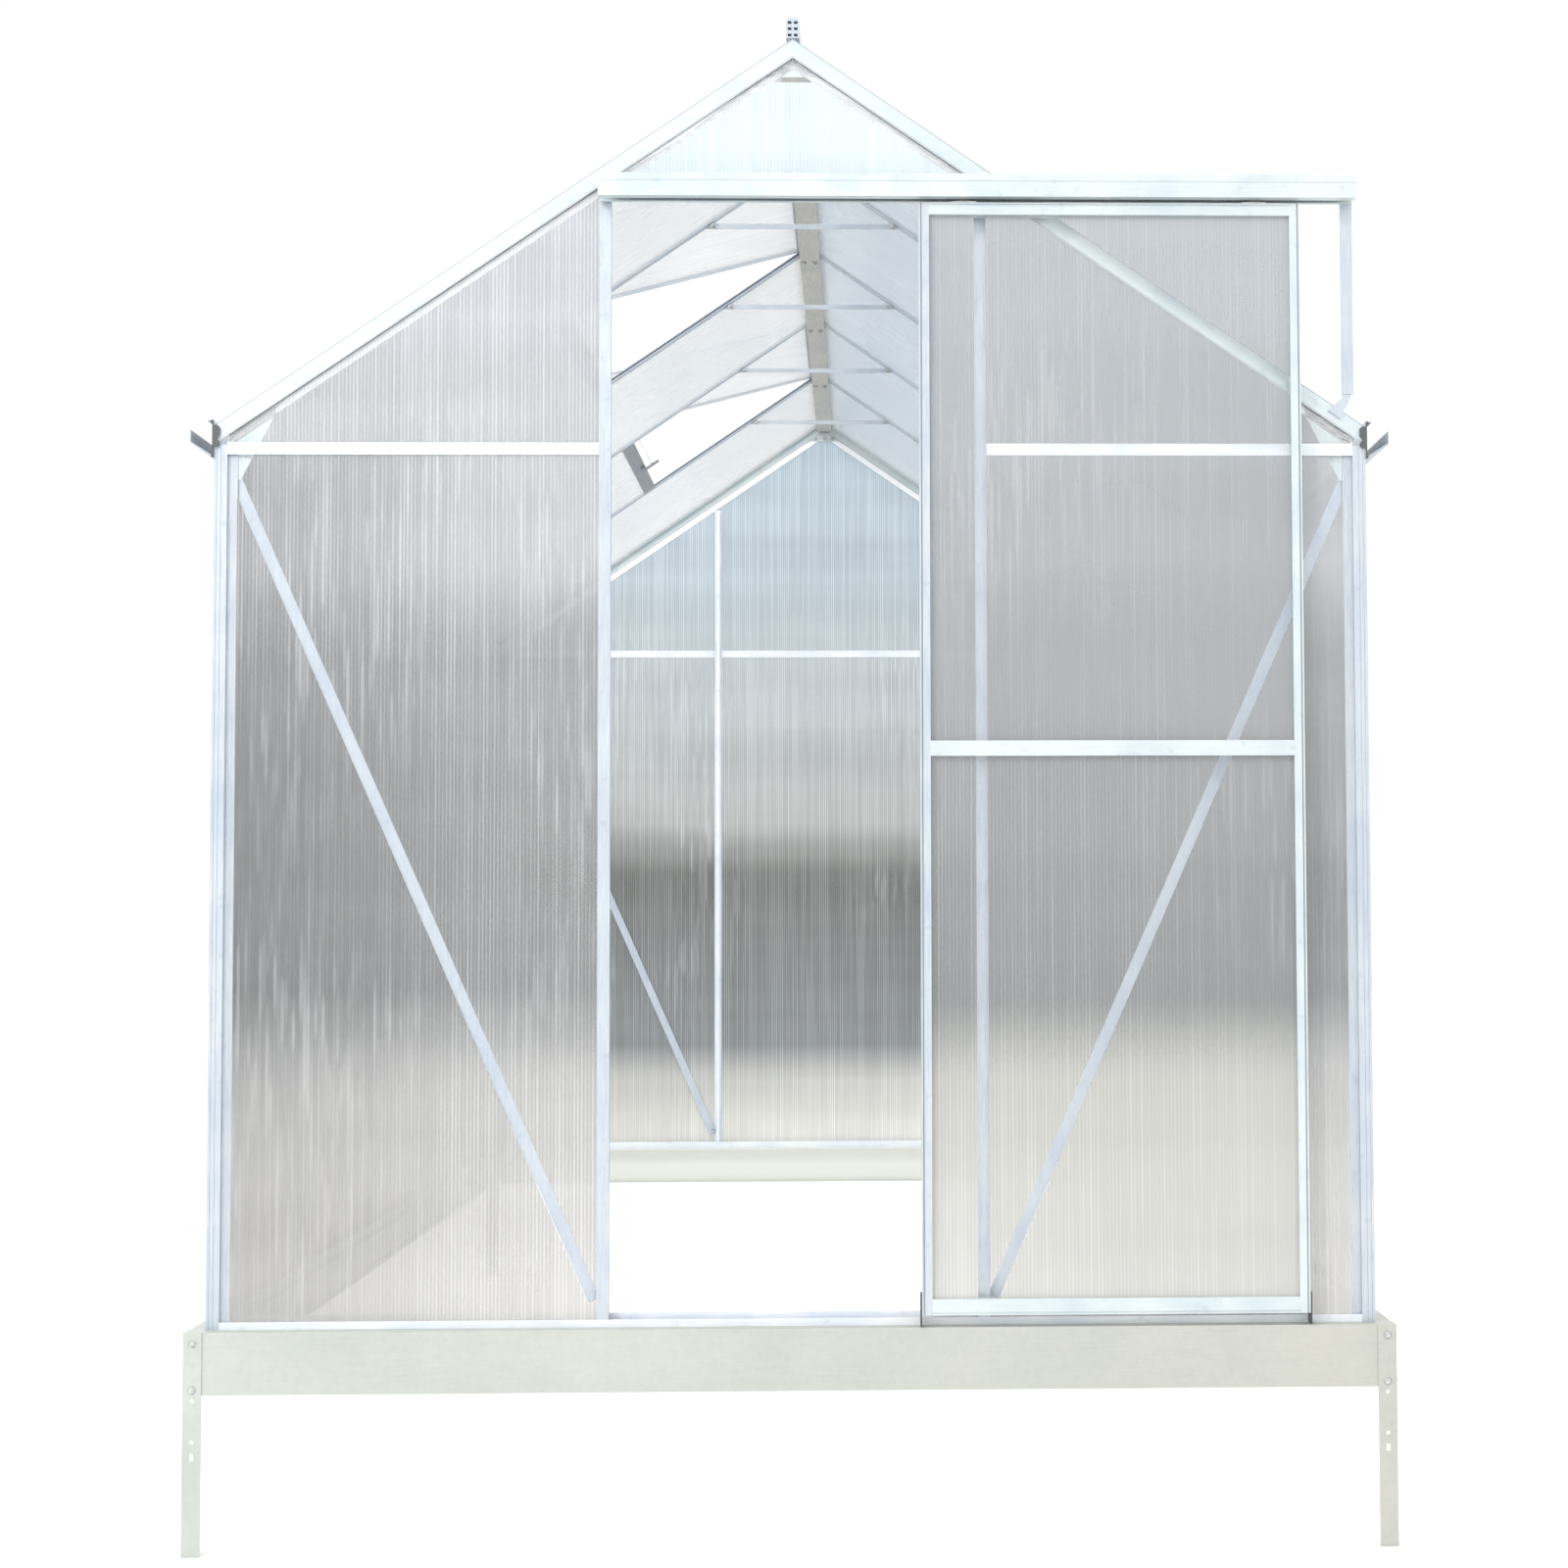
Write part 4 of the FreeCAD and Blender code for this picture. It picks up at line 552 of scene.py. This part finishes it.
# Up each sheet, its grey with painted reflection and painted shade of what lies around and behind
# it: pale near the ground, darkest at knee to waist height, paler to the eaves.
GABLE_TONE_AND_LIGHT = [(0.36, (0.60, 0.59, 0.57)), (0.75, (0.45, 0.45, 0.44)), (0.90, (0.23, 0.24, 0.24)),
              (1.45, (0.28, 0.29, 0.29)), (1.60, (0.41, 0.42, 0.43)), (2.21, (0.46, 0.48, 0.51)),
              (2.25, (0.68, 0.77, 0.83))]
DOOR_TONE_AND_LIGHT = [(0.36, (0.55, 0.55, 0.52)), (0.75, (0.45, 0.45, 0.42)), (0.88, (0.22, 0.23, 0.23)),
             (1.35, (0.28, 0.29, 0.30)), (2.20, (0.36, 0.39, 0.41))]
WALL_TONE_AND_LIGHT = [(0.36, (0.60, 0.59, 0.54)), (0.80, (0.27, 0.28, 0.29)), (1.30, (0.28, 0.29, 0.30)),
             (1.80, (0.42, 0.44, 0.48))]
BACK_TONE_AND_LIGHT = [(0.36, (0.70, 0.70, 0.65)), (0.55, (0.55, 0.55, 0.52)), (0.65, (0.22, 0.24, 0.25)),
             (1.15, (0.15, 0.16, 0.15)), (1.30, (0.41, 0.42, 0.41)), (2.45, (0.45, 0.55, 0.63))]
# Roof slopes: the left painted lit, very pale, the right painted in shade, bluish grey.
LEFT_TONE_AND_LIGHT = [(1.7, (0.72, 0.75, 0.78)), (2.5, (0.80, 0.82, 0.83))]
RIGHT_TONE_AND_LIGHT = [(1.7, (0.46, 0.51, 0.56)), (2.5, (0.48, 0.55, 0.62))]
SHEETS = {
    "gable": twin_wall("twin_wall_gable", "X", "Z", GABLE_TONE_AND_LIGHT, (0.40, 0.48), 0.07, 0.45,
                       flat_pieces_behind_gable(), calm=0.3,
                       side_shade=[(0.30, 1.0), (0.55, 0.94), (0.68, 0.80), (0.93, 0.66)]),
    "door": twin_wall("twin_wall_door", "X", "Z", DOOR_TONE_AND_LIGHT, (0.48, 0.55), 0.03, 0.22,
                      frame_behind_door(), False, calm=0.5),
    "back": twin_wall("twin_wall_back", "X", "Z", BACK_TONE_AND_LIGHT, (0.72, 0.80), 0.15, 0.5),
    "wall": twin_wall("twin_wall_side", "Y", "Z", WALL_TONE_AND_LIGHT, (0.55, 0.65), 0.10),
    "left": twin_wall("twin_wall_left_slope", "Y", "X", LEFT_TONE_AND_LIGHT, (0.20, 0.60), 0.10, 0.5),
    "right": twin_wall("twin_wall_right_slope", "Y", "X", RIGHT_TONE_AND_LIGHT, (0.40, 0.50), 0.07, 0.4),
}
RIBS = moulded_plastic("twin_wall_rib", (0.86, 0.89, 0.92), 0.3)
RIBS.node_tree.nodes["Principled BSDF"].inputs["Alpha"].default_value = 0.07
ZINC = zinc_plate("zinc_plated_steel")
DARK = moulded_plastic("dark_moulded_plastic", (0.05, 0.05, 0.055), 0.45)
NYLON = moulded_plastic("white_nylon", (0.82, 0.82, 0.80), 0.4)


def give(material, *nodes):
    for node in nodes:
        mesh = NODES[node].data
        mesh.materials.clear()
        mesh.materials.append(material)


def dress_frame():
    """A material for every CAD piece that stays."""
    uprights = [node for node in NODES
                if node.startswith(("corner_post", "side_studs", "door_post"))]
    give(METALS["z"], *uprights, "track_strut")
    # Back studs: the much paler copy, painted lit; gusset plates the paler one.
    give(LIT_STUD, "back_studs")
    give(LIT_METALS["z"], "gusset_plates")
    left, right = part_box("door_stile_left")[0][0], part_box("door_stile_right")[1][0]
    give(sunk_line_shade(mill_aluminium("stile_aluminium_left", BRIGHT, BRIGHT_DARK, "z"), left, 1),
         "door_stile_left")
    # The right stile: the paler copy, painted lit.
    give(sunk_line_shade(mill_aluminium("stile_aluminium_right", LIT, LIT_DARK, "z"), right, -1),
         "door_stile_right")
    give(BRACE, "wall_braces")
    give(METALS["x"], "collar_ties")
    # Door track and rails: the paler copy, painted lit; rails, header and sills the much paler one.
    give(LIT_METALS["x"], "door_track", "door_rails")
    give(LIT_RAIL, "gable_rail_front_left", "gable_rail_front_right", "gable_rails_back", "door_header",
         "sill_front", "sill_back")
    give(METALS["y"], "sill_left", "sill_right")
    give(SHADED, "vent_sills")
    for side, sign in (("left", -1), ("right", 1)):
        # Rafters: the paler copy, painted lit.
        pale = mill_aluminium("rafter_aluminium_" + side, LIT, LIT_DARK, side + "_slope")
        give(edge_shade_and_lip_light(pale, sign), "gable_rafter_front_" + side, "gable_rafter_back_" + side)
        give(METALS[side + "_slope"], "roof_bars_" + side)
    give(METALS["y"], "vent_front_frame", "vent_rear_frame")
    give(RIDGE, "ridge_beam")
    give(GUTTER, "gutter_left", "gutter_right")
    give(galvanised_steel("galvanised_x", "x"), "base_rail_front")
    give(painted_inside_light(galvanised_steel("galvanised_back", "x")), "base_rail_back")
    give(galvanised_steel("galvanised_y", "y"), "base_rail_left", "base_rail_right")
    give(galvanised_steel("galvanised_z", "z"), "corner_stakes")
    give(ZINC, "stake_bolts", "frame_bolts", "vent_front_stay", "vent_rear_stay", "door_hangers")
    give(DARK, "door_guides")
    give(NYLON, "door_roller_left", "door_roller_right")


# ---------------------------------------------------------------- twin-wall sheets

def thin_direction(points):
    """The direction across a flat solid: of its face normals, the one with the least extent."""
    best = None
    for normal in (X_AXIS, Y_AXIS, Z_AXIS, *SLOPE_NORMALS):
        spread = [point.dot(normal) for point in points]
        extent = max(spread) - min(spread)
        if best is None or extent < best[0]:
            best = (extent, normal)
    return best[1]


def slope_normals():
    """Normals of both roof slopes and of the open vents."""
    found = []
    for side in (1, -1):
        found.append(Vector((math.sin(ROOF_SLOPE) * side, 0, math.cos(ROOF_SLOPE))))
    open_angle = ROOF_SLOPE - VENT_OPEN
    found.append(Vector((-math.sin(open_angle), 0, math.cos(open_angle))))
    return found


SLOPE_NORMALS = slope_normals()


def limits_at(outline, across):
    """Lowest and highest point of the outline on one rib's line."""
    crossings = []
    for (x0, y0), (x1, y1) in zip(outline, outline[1:] + outline[:1]):
        if min(x0, x1) <= across <= max(x0, x1) and abs(x1 - x0) > 1e-9:
            crossings.append(y0 + (y1 - y0) * (across - x0) / (x1 - x0))
    return (min(crossings), max(crossings)) if len(crossings) > 1 else None


class SheetMesh:
    """Gathers faces of skins and ribs with their materials."""

    def __init__(self):
        self.points, self.faces, self.slots = [], [], []

    def prism(self, outline, low, high, to_world, slot):
        """A closed slab of a convex outline between two depths."""
        first = len(self.points)
        count = len(outline)
        for depth in (low, high):
            self.points += [to_world(x, y, depth) for x, y in outline]
        self.faces.append([first + index for index in reversed(range(count))])
        self.faces.append([first + count + index for index in range(count)])
        for index in range(count):
            after = (index + 1) % count
            self.faces.append([first + index, first + after,
                               first + count + after, first + count + index])
        self.slots += [slot] * (count + 2)

    def build(self, name, materials):
        mesh = bpy.data.meshes.new(name)
        mesh.from_pydata(self.points, [], self.faces)
        for material in materials:
            mesh.materials.append(material)
        mesh.polygons.foreach_set("material_index", self.slots)
        mesh.update()
        piece = bpy.data.objects.new(name, mesh)
        bpy.context.scene.collection.objects.link(piece)
        return piece


def twin_wall_piece(node, sheet):
    """Two skins and the ribs between them for each panel of a node."""
    gathered = SheetMesh()
    for points in loose_parts(NODES[node].data):
        normal = thin_direction(points)
        across = Y_AXIS if abs(normal.y) < 0.5 else X_AXIS
        along = normal.cross(across).normalized()
        outline = outline_of(points, across, along)
        depths = [point.dot(normal) for point in points]
        low, high = min(depths), max(depths)

        def to_world(x, y, depth):
            return across * x + along * y + normal * depth

        gathered.prism(outline, low, low + SKIN, to_world, 0)
        gathered.prism(outline, high - SKIN, high, to_world, 0)
        start, end = min(x for x, _ in outline), max(x for x, _ in outline)
        first = math.ceil((start + RIB_THICK) / RIB_PITCH)
        last = math.floor((end - RIB_THICK) / RIB_PITCH)
        rows = [start + RIB_THICK] + [index * RIB_PITCH for index in range(first, last + 1)]
        for middle in rows + [end - RIB_THICK]:
            limits = limits_at(outline, middle)
            if limits and limits[1] - limits[0] > RIB_PITCH:
                bottom, top = limits[0] + RIB_END, limits[1] - RIB_END
                half = RIB_THICK / 2
                rib = [(middle - half, bottom), (middle + half, bottom), (middle + half, top),
                       (middle - half, top)]
                gathered.prism(rib, low + SKIN, high - SKIN, to_world, 1)
    name = node.replace("panels", "sheets").replace("panel", "sheet")
    piece = gathered.build(name, [sheet, RIBS])
    piece.visible_shadow = piece.visible_diffuse = False
    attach(piece, BODY_OF[node])
    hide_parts(node)
    return piece


def glaze():
    """Sheets with skins and ribs in place of every CAD panel."""
    for node, kind in (
            ("panels_front_gable", "gable"), ("panels_back_gable", "back"),
            ("door_panel_upper", "door"), ("door_panel_lower", "door"),
            ("panels_left_wall", "wall"), ("panels_right_wall", "wall"),
            ("panels_roof_left", "left"), ("vent_front_panel", "left"),
            ("vent_rear_panel", "left"), ("panels_roof_right", "right")):
        twin_wall_piece(node, SHEETS[kind])


# ---------------------------------------------------------------- stage, light and camera

def stage():
    """A plain pale floor."""
    bpy.ops.mesh.primitive_plane_add(size=60, location=(0, 0, -0.0005))
    floor = bpy.context.object
    floor.name = "floor"
    material, tree, shader = new_material("pale_floor")
    clouds = stretched_noise(tree, (0, 0, 0), (1, 1, 1), 0.8, 3.0)
    pale = ramp(tree, clouds, ((0.3, grey(0.84)), (0.7, grey(0.86))))
    tree.links.new(pale, shader.inputs["Base Color"])
    shader.inputs["Roughness"].default_value = 0.9
    floor.data.materials.append(material)


def world_light():
    """Plain white behind everything; a soft dome, a little stronger above and to the left."""
    world = bpy.data.worlds.new("white_studio")
    world.use_nodes = True
    tree = world.node_tree
    background = tree.nodes["Background"]
    place = tree.nodes.new("ShaderNodeTexCoord")
    split = tree.nodes.new("ShaderNodeSeparateXYZ")
    tree.links.new(place.outputs["Generated"], split.inputs["Vector"])
    upward = maths(tree, "MULTIPLY_ADD", split.outputs["Z"], 0.22, 1.38)
    sideways = maths(tree, "MULTIPLY_ADD", split.outputs["X"], -0.12, upward)
    seen = tree.nodes.new("ShaderNodeLightPath").outputs["Is Camera Ray"]
    plain = maths(tree, "MULTIPLY_ADD", maths(tree, "SUBTRACT", 1.02, sideways), seen, sideways)
    tree.links.new(plain, background.inputs["Strength"])
    background.inputs["Color"].default_value = (1, 1, 1, 1)
    bpy.context.scene.world = world
    world.cycles.sampling_method = "NONE"


def soft_box(name, place, target, size, power):
    light = bpy.data.lights.new(name, "AREA")
    light.shape = "RECTANGLE"
    light.size, light.size_y = size
    light.energy = power
    lamp = bpy.data.objects.new(name, light)
    lamp.location = place
    lamp.rotation_euler = (Vector(target) - Vector(place)).to_track_quat("-Z", "Y").to_euler()
    bpy.context.scene.collection.objects.link(lamp)


def camera():
    """Eye level view of the door gable, a little right of the middle."""
    data = bpy.data.cameras.new("camera")
    data.sensor_width = 36
    data.lens = 56.4
    data.shift_x = -0.0901
    data.shift_y = 0.0139
    eye = bpy.data.objects.new("camera", data)
    yaw, pitch, roll = (math.radians(angle) for angle in (1.405, 2.654, -0.194))
    turned = Matrix.Rotation(-yaw, 4, "Z") @ Matrix.Rotation(math.pi / 2 + pitch, 4, "X")
    turned = turned @ Matrix.Rotation(roll, 4, "Z")
    eye.matrix_world = Matrix.Translation(EYE) @ turned
    bpy.context.scene.collection.objects.link(eye)
    bpy.context.scene.camera = eye


def look():
    scene = bpy.context.scene
    scene.view_settings.view_transform = "Standard"
    scene.cycles.transparent_max_bounces = 48
    scene.cycles.max_bounces = 6
    scene.cycles.diffuse_bounces = 3
    scene.cycles.glossy_bounces = 3


dress_frame()
glaze()
stage()
world_light()
soft_box("key", (-3.5, -6.0, 5.5), (0, 0, 1.2), (1.6, 1.6), 160)
camera()
look()
